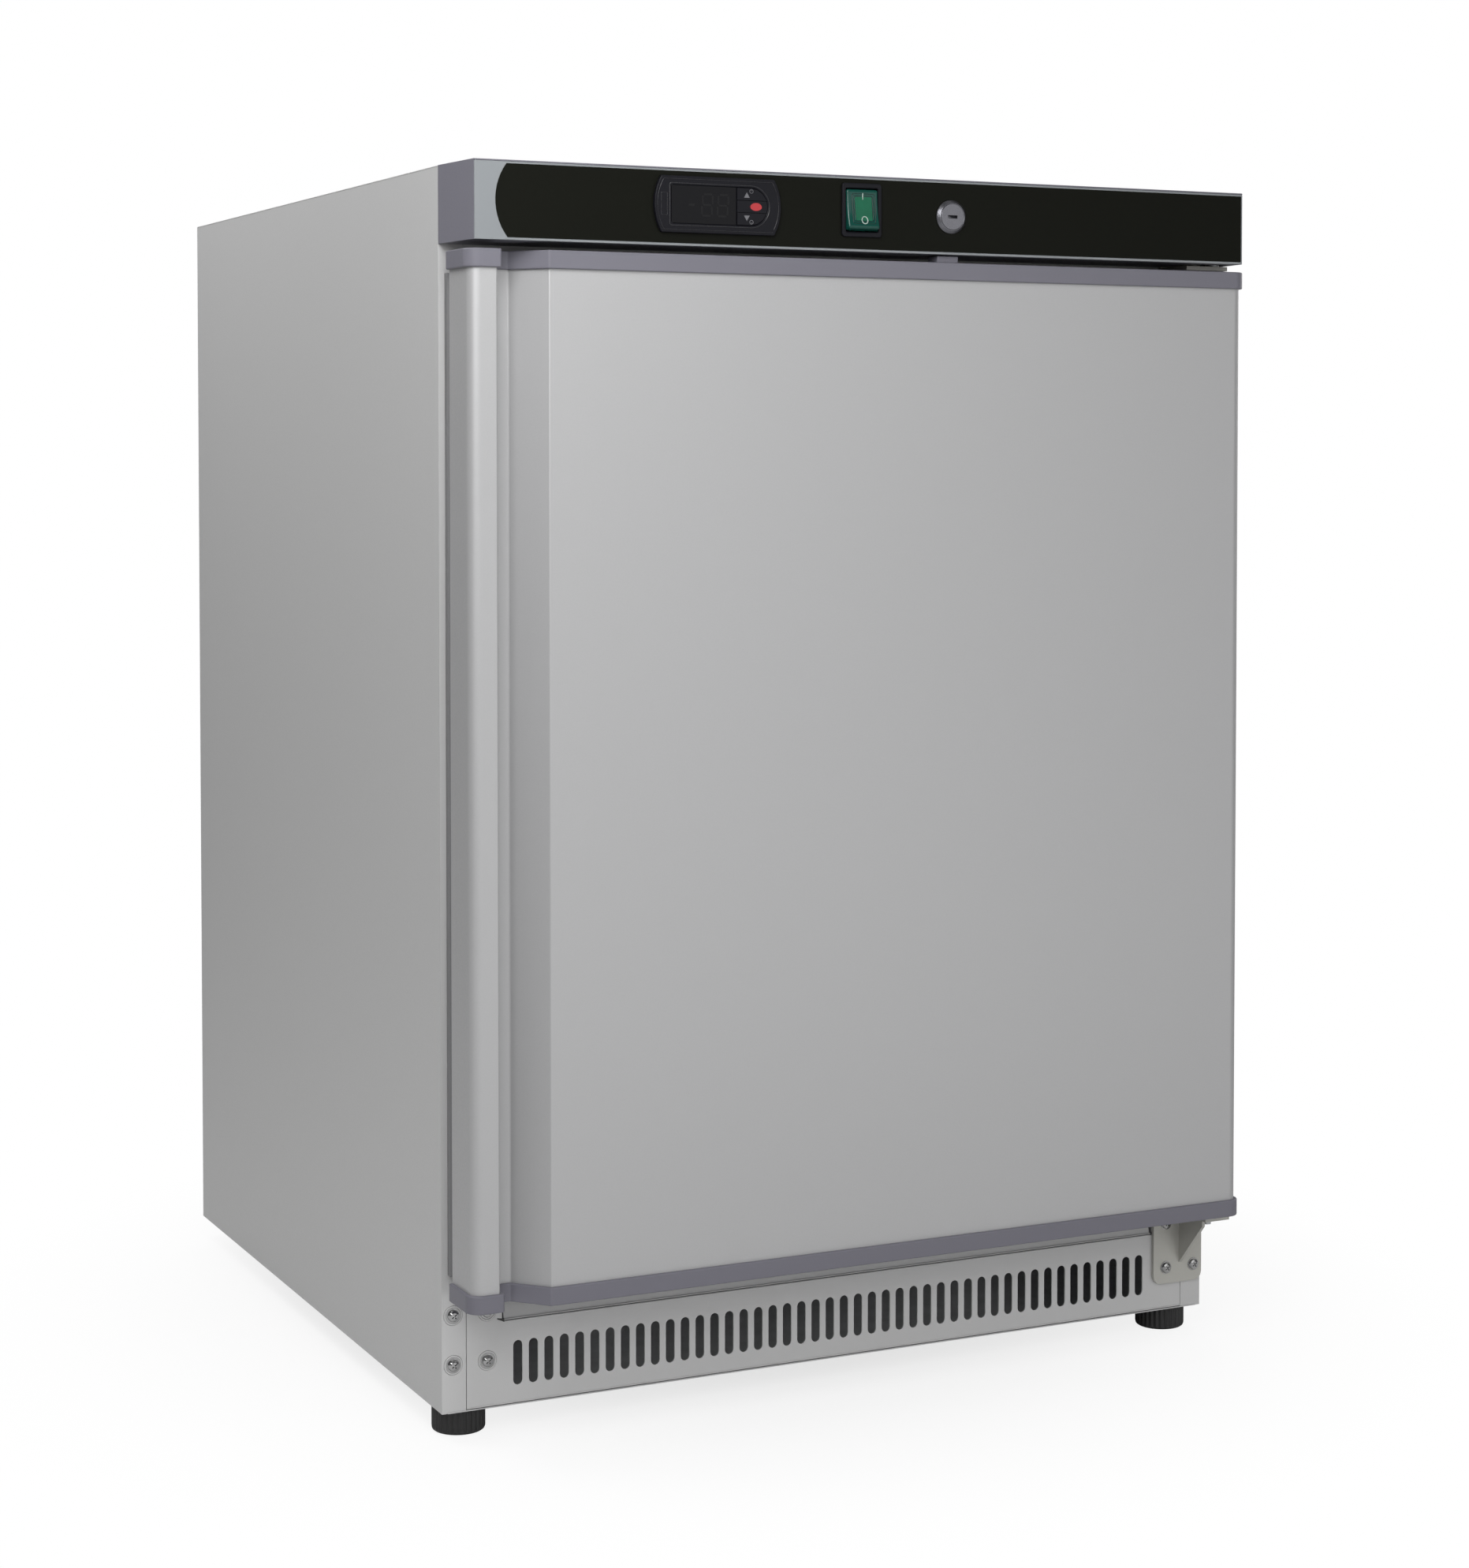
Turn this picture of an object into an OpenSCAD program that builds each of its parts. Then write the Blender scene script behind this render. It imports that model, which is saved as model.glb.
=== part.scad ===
// Undercounter refrigerator with one hinged door, a control fascia and a ventilated base.
// +Z is up, the door faces -Y, and the origin is on the floor under the middle of the cabinet.

/* [Cabinet] */
// Width of the steel cabinet
cab_w = 598; // [560:1:620]
// Height of the cabinet above its feet
cab_h = 820; // [800:1:860]
// Depth of the cabinet behind the door
cab_d = 576; // [540:1:620]
// Height that the feet show below the cabinet
foot_h = 18; // [15:1:30]
// Diameter of a foot
foot_dia = 36; // [30:1:40]
// Thickness of the outer sheet
sheet = 1; // [0.8:0.1:1.2]
// Thickness of the insulated side walls
wall = 38; // [34:1:44]

/* [Door] */
// Width of the door over its end caps
door_w = 598; // [564:1:624]
// Height of the door's lower edge above the cabinet's base
door_low = 79; // [77:1:84]
// Thickness of the door's end caps
door_t = 40; // [38:1:46]
// Gap that the gasket fills
gasket_gap = 14; // [13:1:16]
// Height of an end cap
cap_h = 12; // [10:0.5:14]
// How far the caps stand proud of the skin
cap_lip = 2.5; // [1.5:0.5:3]
// Gap between the door and the fascia above it
door_gap = 5.5; // [5.5:0.1:7]
// Depth of the grip recess
grip_depth = 22; // [14:1:24]
// Width of the pillar beside the grip
grip_pillar = 24; // [20:1:28]

/* [Fascia] */
// Height of the control fascia
fascia_h = 51; // [49:1:56]
// How far the fascia's film stops short of its top and bottom edges
film_margin = 2; // [1:0.5:3]
// How far each end of the fascia leans in towards its front
fascia_draft = 5; // [2:0.5:7]
// Width of the temperature controller
ctrl_w = 92; // [90:1:96]
// Height of the temperature controller
ctrl_h = 37; // [36:1:38]

/* [Grille] */
// Number of slots in the front grille
slots = 45; // [30:1:45]
// Distance between slots
slot_pitch = 11.15; // [10.5:0.05:11.2]
// Width of a slot
slot_w = 6.6; // [5:0.1:7]
// Height of a slot
slot_h = 30; // [20:1:34]

/* [Inside] */
// Depth of a shelf
shelf_d = 395; // [380:1:395]

/* [Hidden] */

$fn = 48;
corner_steps = 8;
slot_steps = 3;
slip = 0.3;       // gap between pieces that move past each other
running = 0.05;   // radial clearance of a running fit

rocker_r = 14.2;    // the rocker's ends are arcs of this radius about its pivot
rocker_face = 3.6;  // how far its middle stands out of the fascia
rocker_dish = 1.6;  // how much further its ends stand out
rocker_tilt = 8;
rocker_end = rocker_face + rocker_dish;
rocker_out = rocker_end * cos(rocker_tilt) + sqrt(rocker_r * rocker_r - rocker_end * rocker_end) * sin(rocker_tilt);
front_d = gasket_gap + door_t;
front_y = rocker_out + front_d - (cab_d + front_d + rocker_out) / 2;   // cabinet's front plane
back_y = front_y + cab_d;
face_y = front_y - front_d;                                            // fascia's front face
base_z = foot_h;
top_z = base_z + cab_h;
fascia_z = top_z - fascia_h;
half = cab_w / 2;

door_z0 = base_z + door_low;
door_z1 = fascia_z - door_gap;
door_back = front_y - gasket_gap;
door_r = 10;
skin_z0 = door_z0 + cap_h;
skin_z1 = door_z1 - cap_h;
skin_t = 0.8;
grip_run = 20;      // how far the grip's ramp runs across
grip_flat = 12;     // width of the flat bottom of the grip

return_w = 17;      // width of the side panels' front and back returns
core_half = half - sheet - 0.5;   // half the width of what lies between the side panels
header_drop = 8;    // how far the top panel's front return hangs below the fascia
back_drop = 14;     // height of the top panel's back return
tray_t = 1.5;       // thickness of the base tray
bay_h = 215;        // height of the machine bay at the back
bay_d = 190;        // depth of the machine bay
duct_h = 75;        // height of the air duct under the floor
floor_z = base_z + 110;
ceiling_z = top_z - 85;
liner_t = 1.5;
inner_half = half - wall;
inner_back = back_y - 42;
step_z = base_z + bay_h + wall;
step_y = back_y - bay_d - wall;

hinge_x = door_w / 2 - 13;
hinge_y = front_y - 28;
pin_r = 3;
plate_t = 3;        // thickness of the hinge brackets' plates
upper_arm_z = door_z1 + 1.6;   // underside of the upper bracket's arm
upper_bracket_w = 35;
bush_h = 8;
bush_r = 6;
collar_r = 5;
arm_z = door_z0 - 7;   // underside of the lower bracket's arm
bracket_w = 42;
bracket_z0 = base_z + 20;
bracket_z1 = base_z + 76;
screw_in = 24;      // distance between the two columns of bracket screws
screw_up = 33;      // distance between the two rows
screw_x = half - 8;
screw_z = base_z + 32;

grille_h = 57;      // height of the grille's upright face
grille_top = 77.8;  // height of the whole grille sheet
fold_half = half - 42.5;   // half the width of the part that leans back above that face
fold_top = 74;
fold_lean = 6;      // how far it leans back
sill_h = 2;
sill_d = 1.8;
slot_z = 28;        // height of the slots' middle above the base
screw_hole_r = 2.2;

ctrl_x = -124.3;
ctrl_z = base_z + cab_h - 24.2;
key_mid = 23.6;      // centre of the keypad's round end, from the controller's centre
key_half = 12.4;     // radius of that end
key_left = 13.2;     // straight edge of the keypad, from the controller's centre
key_split = 4;       // half the height of the middle key with its gaps
ctrl_out = 3;        // how far the controller stands out
switch_x = -16.8;
switch_z = top_z - 23.3;
switch_w = 30;
switch_h = 36;
rocker_w = 24;
lock_x = 52.8;
lock_z = top_z - 25.4;
lock_r = 11.5;
plug_r = 9;
stem_r = 7;
cam_y = face_y + 20;

foot_x = half - 20;
foot_y = front_y + 23;
rear_foot_x = half - 46;
rear_foot_y = back_y - 30;
foot_stem_r = 5;
feet = [[foot_x, foot_y], [rear_foot_x, rear_foot_y]];   // the right-hand pair, mirrored for the left

gasket_half = door_w / 2 - 19;    // how far the gasket reaches on the hinge side
gasket_free = door_w / 2 - 3.5;   // how far it reaches on the free side
gasket_w = 16;
plug_half = inner_half - 18;
plug_z0 = floor_z + 14;
plug_z1 = ceiling_z - 14;

shelf_half = inner_half - 3;
shelf_y0 = front_y + 36;
shelf_z = [floor_z + 180, floor_z + 350, floor_z + 520];
shelf_bar_r = 3;
ledge_out = 9;      // how far the ledges under a shelf stand out of the liner
cover_z0 = floor_z + 395;
cover_d = 80;
fan_z = floor_z + 520;
fan_r = 55;
blade_count = 5;

comp_x = 130;
comp_y = back_y - 98;
comp_z = base_z + 16;
comp_r = 68;
comp_seam = 3;      // how far the seam of its shell stands out
comp_h = 150;

function arc(x, y, r, from, to, steps = corner_steps) =
    [for (i = [0:steps]) let (a = from + (to - from) * i / steps) [x + r * cos(a), y + r * sin(a)]];

function rounded(w, h, r, steps = slot_steps) = concat(
    arc(w / 2 - r, h / 2 - r, r, 0, 90, steps),
    arc(r - w / 2, h / 2 - r, r, 90, 180, steps),
    arc(r - w / 2, r - h / 2, r, 180, 270, steps),
    arc(w / 2 - r, r - h / 2, r, 270, 360, steps));

// A plate with bowed ends, as a list of points
function bowed(w, h, bow) =
    let (r = (h * h / 4 + bow * bow) / (2 * bow), a = asin(h / 2 / r))
    concat(arc(w / 2 - r, 0, r, -a, a), arc(r - w / 2, 0, r, 180 - a, 180 + a));

// A D shape from x to its round end, as a list of points
function d_shape(x, mid, r) = concat([[x, -r]], arc(mid, 0, r, -90, 90), [[x, r]]);

// Plan outline of the door with its grip recess, set in by i on every side but the back
function door_outline(i) =
    let (
        xl = i - door_w / 2,
        xr = door_w / 2 - i,
        yf = face_y + i,
        deep = yf + grip_depth,
        r = door_r - i,
        pillar = grip_pillar - door_w / 2 - i,
        ramp = i * (sqrt(grip_run * grip_run + grip_depth * grip_depth) - grip_run) / grip_depth,
        flat_end = grip_pillar - door_w / 2 + grip_flat + ramp
    )
    concat(
        [[xl, door_back]],
        arc(xl + r, yf + r, r, 180, 270),
        [[pillar, yf], [pillar, deep], [flat_end, deep], [flat_end + grip_run, yf]],
        arc(xr - r, yf + r, r, 270, 360),
        [[xr, door_back]]);

// A block between two corners
module block(low, high) {
    translate(low) cube(high - low);
}

// A rounded plate facing the front, with its front surface at y
module front_plate(x, y, z, w, h, t, r) {
    translate([x, y + t, z]) rotate([90, 0, 0]) linear_extrude(t) polygon(rounded(w, h, r));
}

// A round bar along Y from y0 to y1
module bar_y(x, z, r, y0, y1) {
    translate([x, y1, z]) rotate([90, 0, 0]) cylinder(r = r, h = y1 - y0);
}

// A round bar along X from x0 to x1
module bar_x(y, z, r, x0, x1) {
    translate([x0, y, z]) rotate([0, 90, 0]) cylinder(r = r, h = x1 - x0);
}

// A profile in the YZ plane, extruded across X
module across(x0, x1, points) {
    translate([x0, 0, 0]) rotate([90, 0, 90]) linear_extrude(x1 - x0) polygon(points);
}

// ---- cabinet shell ----

module side_panel(side) {
    x0 = side * half;
    x1 = side * (half - sheet);
    xr = side * (half - return_w);
    color("gainsboro") difference() {
        translate([0, 0, base_z]) linear_extrude(cab_h - sheet) polygon([
            [x0, front_y], [xr, front_y], [xr, front_y + sheet], [x1, front_y + sheet],
            [x1, back_y - sheet], [xr, back_y - sheet], [xr, back_y], [x0, back_y]]);
        for (row = [0, 1]) bar_y(side * screw_x, screw_z + row * screw_up, screw_hole_r, front_y - 1, front_y + 2);
    }
}

module side_panel_left() { side_panel(-1); }
module side_panel_right() { side_panel(1); }

module top_panel() {
    inner = half - return_w;
    color("gainsboro") union() {
        block([-half, front_y, top_z - sheet], [half, back_y, top_z]);
        block([-inner, front_y, fascia_z - header_drop], [inner, front_y + sheet, top_z - sheet]);
        block([-inner, back_y - sheet, top_z - back_drop], [inner, back_y, top_z - sheet]);
    }
}

module back_panel() {
    inner = half - return_w;
    color("silver") block([-inner, back_y - sheet, base_z + bay_h], [inner, back_y, top_z - back_drop]);
}

module base_tray() {
    w = core_half;
    y0 = front_y + 2;
    y1 = back_y - sheet;
    side_h = 20;
    boss_h = 12;
    comp_stud_h = 6;
    color("silver") difference() {
        union() {
            block([-w, y0, base_z], [w, y1, base_z + tray_t]);
            for (side = [-1, 1]) {
                block([side < 0 ? -w : w - tray_t, y0, base_z], [side < 0 ? tray_t - w : w, y1, base_z + side_h]);
                for (f = feet) translate([side * f[0], f[1], base_z]) cylinder(r = foot_stem_r + 4, h = boss_h);
                translate([comp_x + side * 80, comp_y, base_z]) cylinder(r = 6, h = comp_stud_h);
            }
            block([-w, y1 - tray_t, base_z], [w, y1, base_z + boss_h]);
        }
        for (side = [-1, 1]) for (f = feet)
            translate([side * f[0], f[1], base_z - 1]) cylinder(r = foot_stem_r + running, h = 20);
    }
}

module machine_bay_shell() {
    z0 = base_z + duct_h;
    z1 = base_z + bay_h;
    y0 = front_y + sheet + 0.5;
    y1 = back_y - bay_d;
    color("lightgray") across(-core_half, core_half, [
        [y0, z0], [y1, z0], [y1, z1], [back_y - sheet, z1], [back_y - sheet, z1 + sheet],
        [y1 - sheet, z1 + sheet], [y1 - sheet, z0 + sheet], [y0, z0 + sheet]]);
}

// Side profile of the space that the liner's outside takes up, grown by g
function cavity_profile(g) = [
    [front_y - 1, floor_z - g], [step_y + g, floor_z - g], [step_y + g, step_z - g],
    [inner_back + g, step_z - g], [inner_back + g, ceiling_z + g], [front_y - 1, ceiling_z + g]];

module cavity(g) {
    across(-inner_half - g, inner_half + g, cavity_profile(g));
}

module cabinet_foam() {
    g = 0.2;   // gap to the sheets around it
    y1 = back_y - sheet - g;
    z0 = base_z + duct_h + sheet + g;
    z1 = base_z + bay_h + sheet + g;
    y0 = front_y + 14;
    bay_y = back_y - bay_d - sheet - g;
    foam_top = top_z - sheet - 0.5;
    color("khaki") difference() {
        across(-core_half, core_half, [[y0, z0], [bay_y, z0], [bay_y, z1], [y1, z1], [y1, foam_top], [y0, foam_top]]);
        cavity(liner_t + g);
    }
}

module ledges() {
    ledge_h = 5;
    for (side = [-1, 1]) for (z = shelf_z) {
        x0 = side * (inner_half + 0.5);
        x1 = side * (inner_half - ledge_out);
        top = z - shelf_bar_r - slip;
        block([min(x0, x1), front_y + 24, top - ledge_h], [max(x0, x1), inner_back - 45, top]);
    }
}

module inner_liner() {
    color("white") union() {
        difference() {
            intersection() {
                cavity(liner_t);
                block([-half, front_y + 1.4, base_z], [half, back_y, top_z]);
            }
            cavity(0);
        }
        ledges();
    }
}

module front_frame() {
    w = half - return_w - 0.2;
    z0 = base_z + grille_top + 0.2;
    z1 = fascia_z - header_drop - 0.2;
    y1 = front_y + 1.2;
    color("whitesmoke") difference() {
        block([-w, front_y, z0], [w, y1, z1]);
        block([-inner_half, front_y - 1, floor_z], [inner_half, y1 + 1, ceiling_z]);
    }
}

module front_grille() {
    w = half - return_w - 0.4;
    slit = 1.5;
    fold_z = base_z + grille_h - 1;
    color("lightgray") difference() {
        union() {
            block([-w, front_y, base_z + sill_h], [w, front_y + sheet, base_z + grille_h]);
            for (side = [-1, 1]) {
                x0 = side * fold_half;
                x1 = side * w;
                block([min(x0, x1), front_y, base_z + sill_h], [max(x0, x1), front_y + sheet, base_z + grille_top]);
            }
            across(slit - fold_half, fold_half - slit, [
                [front_y, fold_z], [front_y + fold_lean, base_z + fold_top],
                [front_y + fold_lean + sheet, base_z + fold_top], [front_y + sheet, fold_z]]);
            block([-w, front_y, base_z], [w, front_y + sill_d, base_z + sill_h]);
        }
        for (i = [0:slots - 1]) {
            x = (i - (slots - 1) / 2) * slot_pitch;
            front_plate(x, front_y - 1, base_z + slot_z, slot_w, slot_h, 3, slot_w / 2 - 0.05);
        }
        for (side = [-1, 1]) for (row = [0, 1])
            bar_y(side * (screw_x - screw_in), screw_z + row * screw_up, screw_hole_r, front_y - 1, front_y + 3);
    }
}

// Pan-head screw with a cross recess, its head standing out of a face at y
module pan_screw(x, z, y) {
    color("silver") translate([x, y, z]) rotate([90, 0, 0]) difference() {
        union() {
            rotate_extrude() polygon([[0, 0], [4, 0], [4, 1], [3.4, 2], [2.2, 2.7], [0, 2.9]]);
            translate([0, 0, -8]) cylinder(r = 1.9, h = 8.5);
            cylinder(r = 4.7, h = 0.5);
        }
        for (turn = [35, 125]) rotate([0, 0, turn]) translate([-2, -0.4, 1.6]) cube([4, 0.8, 3]);
    }
}

module screw_group(side, y) {
    for (column = [0, 1]) for (row = [0, 1])
        pan_screw(side * (screw_x - column * screw_in), screw_z + row * screw_up, y);
}

module grille_screws() { screw_group(-1, front_y); }
module hinge_bracket_screws() { screw_group(1, front_y - plate_t); }

module lower_hinge_bracket() {
    x1 = half - 0.5;
    x0 = x1 - bracket_w;
    web_x = x0 + 22;
    color("darkkhaki") difference() {
        union() {
            front_plate((x0 + x1) / 2, front_y - plate_t, (bracket_z0 + bracket_z1) / 2, bracket_w,
                bracket_z1 - bracket_z0, plate_t, 6);
            block([web_x, hinge_y - 9, arm_z], [x1 + 1, front_y - 1, arm_z + plate_t]);
            across(web_x, web_x + 2.5, [
                [front_y - plate_t + 0.5, bracket_z0 + 14], [front_y - plate_t + 0.5, arm_z + 1],
                [hinge_y - 5, arm_z + 1], [hinge_y - 5, arm_z - 4]]);
        }
        for (column = [0, 1]) for (row = [0, 1])
            bar_y(screw_x - column * screw_in, screw_z + row * screw_up, screw_hole_r, front_y - 5, front_y + 1);
        translate([hinge_x, hinge_y, arm_z - 1]) cylinder(r = pin_r, h = plate_t + 2);
    }
}

module upper_hinge_bracket() {
    x1 = half - 6;
    x0 = x1 - upper_bracket_w;
    color("darkkhaki") difference() {
        union() {
            block([x0, hinge_y - 9, upper_arm_z], [x1, front_y - 0.05, upper_arm_z + plate_t]);
            block([x0, front_y - plate_t, upper_arm_z], [x1, front_y - 0.05, upper_arm_z + 38]);
        }
        translate([hinge_x, hinge_y, upper_arm_z - 1]) cylinder(r = pin_r, h = plate_t + 2);
    }
}

// The lower pin stands up through its bracket into the door, and the upper one hangs down
module hinge_pins() {
    into_bush = bush_h - 0.5;
    head = 3.5;
    collar_z = arm_z + plate_t + 0.05;
    color("silver") translate([hinge_x, hinge_y, 0]) {
        translate([0, 0, arm_z - head]) cylinder(r = pin_r, h = door_z0 + into_bush - arm_z + head);
        translate([0, 0, collar_z]) cylinder(r = collar_r, h = 3.4);
        translate([0, 0, door_z1 - into_bush]) cylinder(r = pin_r, h = upper_arm_z + plate_t - door_z1 + bush_h);
        translate([0, 0, upper_arm_z + plate_t]) cylinder(r = collar_r, h = 2);
    }
}

// ---- control fascia ----

face_half = half - fascia_draft;   // half the width of the fascia's front
plate_front_t = 1.4;               // thickness of the fascia's front plate
lip = 1;                           // height of the housing's lip over that plate

// Housing outline in plan: its ends lean in towards the front
housing_outline = [[-half, front_y - 0.1], [-face_half, face_y], [face_half, face_y], [half, front_y - 0.1]];

module controller_hole(y0, y1) {
    block([ctrl_x - 35.5, y0, ctrl_z - 14.5], [ctrl_x + 35.5, y1, ctrl_z + 14.5]);
}

module fascia_holes(y0, y1) {
    controller_hole(y0, y1);
    block([switch_x - 13, y0, switch_z - 15.8], [switch_x + 13, y1, switch_z + 15.8]);
    bar_y(lock_x, lock_z, 9.5, y0, y1);
}

module fascia_housing() {
    t = 2.5;
    seat_y = face_y + plate_front_t + 0.1;
    color("dimgray") difference() {
        intersection() {
            translate([0, 0, fascia_z]) linear_extrude(fascia_h) polygon(housing_outline);
            across(-half, half, concat(
                [[front_y, fascia_z], [front_y, top_z]],
                arc(face_y + 1, top_z - 1, 1, 90, 180),
                [[face_y, fascia_z]]));
        }
        across(-half - 1, half + 1, [
            [face_y - 1, fascia_z - 1], [seat_y, fascia_z - 1], [seat_y, top_z - lip], [face_y - 1, top_z - lip]]);
        translate([0, 0, fascia_z + t]) linear_extrude(fascia_h - 2 * t) polygon([
            [t - half, front_y + 1], [t - face_half, seat_y + t], [face_half - t, seat_y + t], [half - t, front_y + 1]]);
        fascia_holes(face_y, face_y + 5);
        block([lock_x - 45, cam_y - 3, fascia_z - 1], [lock_x + 9, cam_y + 3, fascia_z + t + 1]);
        block([half - 42, hinge_y - 12, fascia_z - 1], [half - t - 3, front_y + 1, fascia_z + t + 1]);
    }
}

module fascia_front() {
    color("darkgray") difference() {
        block([-face_half, face_y, fascia_z], [face_half, face_y + plate_front_t, top_z - lip - 0.1]);
        fascia_holes(face_y - 1, face_y + 2);
    }
}

module fascia_film() {
    h = fascia_h - 2 * film_margin;
    tip = 14 - face_half;
    bulge = 8;
    r = (h * h / 4 + bulge * bulge) / (2 * bulge);
    mid = fascia_z + fascia_h / 2;
    z0 = fascia_z + film_margin - 0.4;
    z1 = top_z - film_margin - 0.4;
    color("#1e1f1a") difference() {
        translate([0, face_y, mid]) rotate([90, 0, 0]) linear_extrude(0.4) intersection() {
            union() {
                translate([tip + r, 0]) circle(r = r, $fn = 96);
                translate([tip + r, -r]) square([face_half - 1.4 - tip - r, 2 * r]);
            }
            translate([tip - 1, z0 - mid]) square([cab_w, z1 - z0]);
        }
        fascia_holes(face_y - 1, face_y + 1);
    }
}

module controller_case() {
    body_w = 70;
    body_h = 28;
    body_d = 40;
    window_w = 46.8;
    color("#16161c") translate([ctrl_x, face_y - 0.4, ctrl_z]) rotate([90, 0, 0]) difference() {
        union() {
            linear_extrude(ctrl_out) polygon(bowed(ctrl_w, ctrl_h, 5));
            translate([-body_w / 2, -body_h / 2, -body_d]) cube([body_w, body_h, body_d + 0.5]);
        }
        translate([-34, -key_half, ctrl_out - 1.2]) cube([window_w, 2 * key_half, 3]);
        translate([0, 0, ctrl_out - 2.4]) linear_extrude(3) polygon(d_shape(key_left, key_mid, key_half));
    }
}

module controller_window() {
    h = key_half - 0.1;
    color("#101014") block([ctrl_x - 33.9, face_y - 3.2, ctrl_z - h], [ctrl_x + 12.7, face_y - 2.25, ctrl_z + h]);
}

// A key is one band of the D-shaped keypad, from z0 to z1
module key(z0, z1) {
    color("dimgray") translate([ctrl_x, face_y - 1.6, ctrl_z]) rotate([90, 0, 0]) linear_extrude(2) intersection() {
        polygon(d_shape(key_left + slip, key_mid, key_half - slip));
        translate([0, z0]) square([40, z1 - z0]);
    }
}

module key_up() { key(key_split + 0.2, key_half); }
module key_set() { key(0.2 - key_split, key_split - 0.2); }
module key_down() { key(-key_half, -key_split - 0.2); }

module switch_frame() {
    color("black") difference() {
        union() {
            front_plate(switch_x, face_y - 2.4, switch_z, switch_w, switch_h, 2, 2);
            block([switch_x - 12.8, face_y - 1, switch_z - 15.6], [switch_x + 12.8, face_y + 22, switch_z + 15.6]);
        }
        block([switch_x - rocker_w / 2 - slip, face_y - 6, switch_z - 14.6],
            [switch_x + rocker_w / 2 + slip, face_y + 18, switch_z + 14.6]);
    }
}

// The rocker is pressed in at the top; its ends are arcs about the pivot
module switch_rocker() {
    color("seagreen") translate([switch_x - rocker_w / 2, face_y, switch_z]) rotate([-rocker_tilt, 0, 0])
        rotate([90, 0, 90]) linear_extrude(rocker_w) intersection() {
            circle(r = rocker_r, $fn = 96);
            polygon([[-rocker_end, -16], [-rocker_face, 0], [-rocker_end, 16], [9, 16], [9, -16]]);
        }
}

module lock_barrel() {
    color("silver") translate([lock_x, face_y - 0.4, lock_z]) rotate([90, 0, 0]) difference() {
        union() {
            rotate_extrude() polygon([[0, 0], [lock_r, 0], [lock_r, 0.8], [lock_r - 1.9, 2.8], [0, 2.8]]);
            translate([0, 0, -17]) cylinder(r = 9.2, h = 17.5);
        }
        translate([0, 0, -20]) cylinder(r = stem_r + running, h = 30);
        translate([0, 0, 1]) cylinder(r = plug_r + running, h = 3);
    }
}

module lock_plug() {
    back = cam_y - 1.3;
    stem_l = back - face_y;
    slot = [7.2, 1.8, 10];
    color("gainsboro") translate([lock_x, back, lock_z]) rotate([90, 0, 0]) difference() {
        union() {
            cylinder(r = stem_r, h = stem_l + 2);
            translate([0, 0, stem_l + 1.7]) cylinder(r = plug_r, h = 1.7);
        }
        translate([-slot[0] / 2, -slot[1] / 2, stem_l - 2]) cube(slot);
    }
}

module lock_cam() {
    reach = 30;
    color("silver") translate([lock_x, cam_y + 1.2, lock_z]) rotate([90, 0, 0]) linear_extrude(2.4) union() {
        circle(r = 8);
        translate([-reach, -6]) square([reach, 12]);
    }
}

// ---- door ----

module door_skin() {
    color("lightgray") translate([0, 0, skin_z0]) linear_extrude(skin_z1 - skin_z0) difference() {
        polygon(door_outline(cap_lip));
        difference() {
            polygon(door_outline(cap_lip + skin_t));
            translate([-door_w, door_back - skin_t]) square([2 * door_w, 10]);
        }
        translate([30 - door_w / 2, door_back - 5]) square([door_w - 60, 10]);
    }
}

module door_cap(z, bore_z) {
    color("slategray") difference() {
        translate([0, 0, z]) linear_extrude(cap_h) polygon(door_outline(0));
        translate([hinge_x, hinge_y, bore_z]) cylinder(r = bush_r, h = bush_h + 1);
    }
}

module door_cap_bottom() { door_cap(door_z0, door_z0 - 1); }
module door_cap_top() { door_cap(door_z1 - cap_h, door_z1 - bush_h); }

module hinge_bushes() {
    color("white") for (z = [door_z0, door_z1 - bush_h]) translate([hinge_x, hinge_y, z]) difference() {
        cylinder(r = bush_r, h = bush_h);
        translate([0, 0, -1]) cylinder(r = pin_r + running, h = bush_h + 2);
    }
}

module door_liner() {
    x = door_w / 2 - 5;
    back = door_back;
    color("white") difference() {
        union() {
            block([-x, back, door_z0 + 4], [x, back + liner_t, door_z1 - 4]);
            block([-plug_half, back, plug_z0], [plug_half, front_y + 8, plug_z1]);
        }
        block([liner_t - plug_half, back - 1, plug_z0 + liner_t], [plug_half - liner_t, front_y + 8 - liner_t, plug_z1 - liner_t]);
    }
}

module door_foam() {
    g = cap_lip + skin_t + 0.1;
    color("khaki") union() {
        translate([0, 0, skin_z0 + 0.1]) linear_extrude(skin_z1 - skin_z0 - 0.2) difference() {
            polygon(door_outline(g));
            translate([-door_w, door_back - skin_t - 0.1]) square([2 * door_w, 10]);
        }
        block([2 - plug_half, door_back - 3, plug_z0 + 2], [plug_half - 2, front_y + 6, plug_z1 - 2]);
    }
}

module door_gasket() {
    z0 = door_z0 + 13;
    z1 = door_z1 - 13;
    color("dimgray") difference() {
        block([-gasket_free, door_back + liner_t, z0], [gasket_half, front_y - slip, z1]);
        block([gasket_w - gasket_free, door_back, z0 + gasket_w], [gasket_half - gasket_w, front_y, z1 - gasket_w]);
    }
}

module door_strike() {
    color("gray") block([lock_x - 8, cam_y - 16, door_z1], [lock_x + 8.5, cam_y - 3, fascia_z - 0.8]);
}

// ---- inside the cabinet ----

module wire_shelf(z) {
    y1 = shelf_y0 + shelf_d;
    x = shelf_half - 4;
    wires = 19;
    color("gainsboro") union() {
        for (y = [shelf_y0 + shelf_bar_r, shelf_y0 + shelf_d / 3, shelf_y0 + shelf_d * 2 / 3, y1 - shelf_bar_r])
            bar_x(y, z, shelf_bar_r, -shelf_half, shelf_half);
        for (side = [-1, 1]) bar_y(side * x, z + 0.8, 2.5, shelf_y0, y1);
        for (i = [1:wires]) bar_y(-x + 2 * x * i / (wires + 1), z + 2.8, 1.5, shelf_y0, y1, $fn = 12);
    }
}

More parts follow.
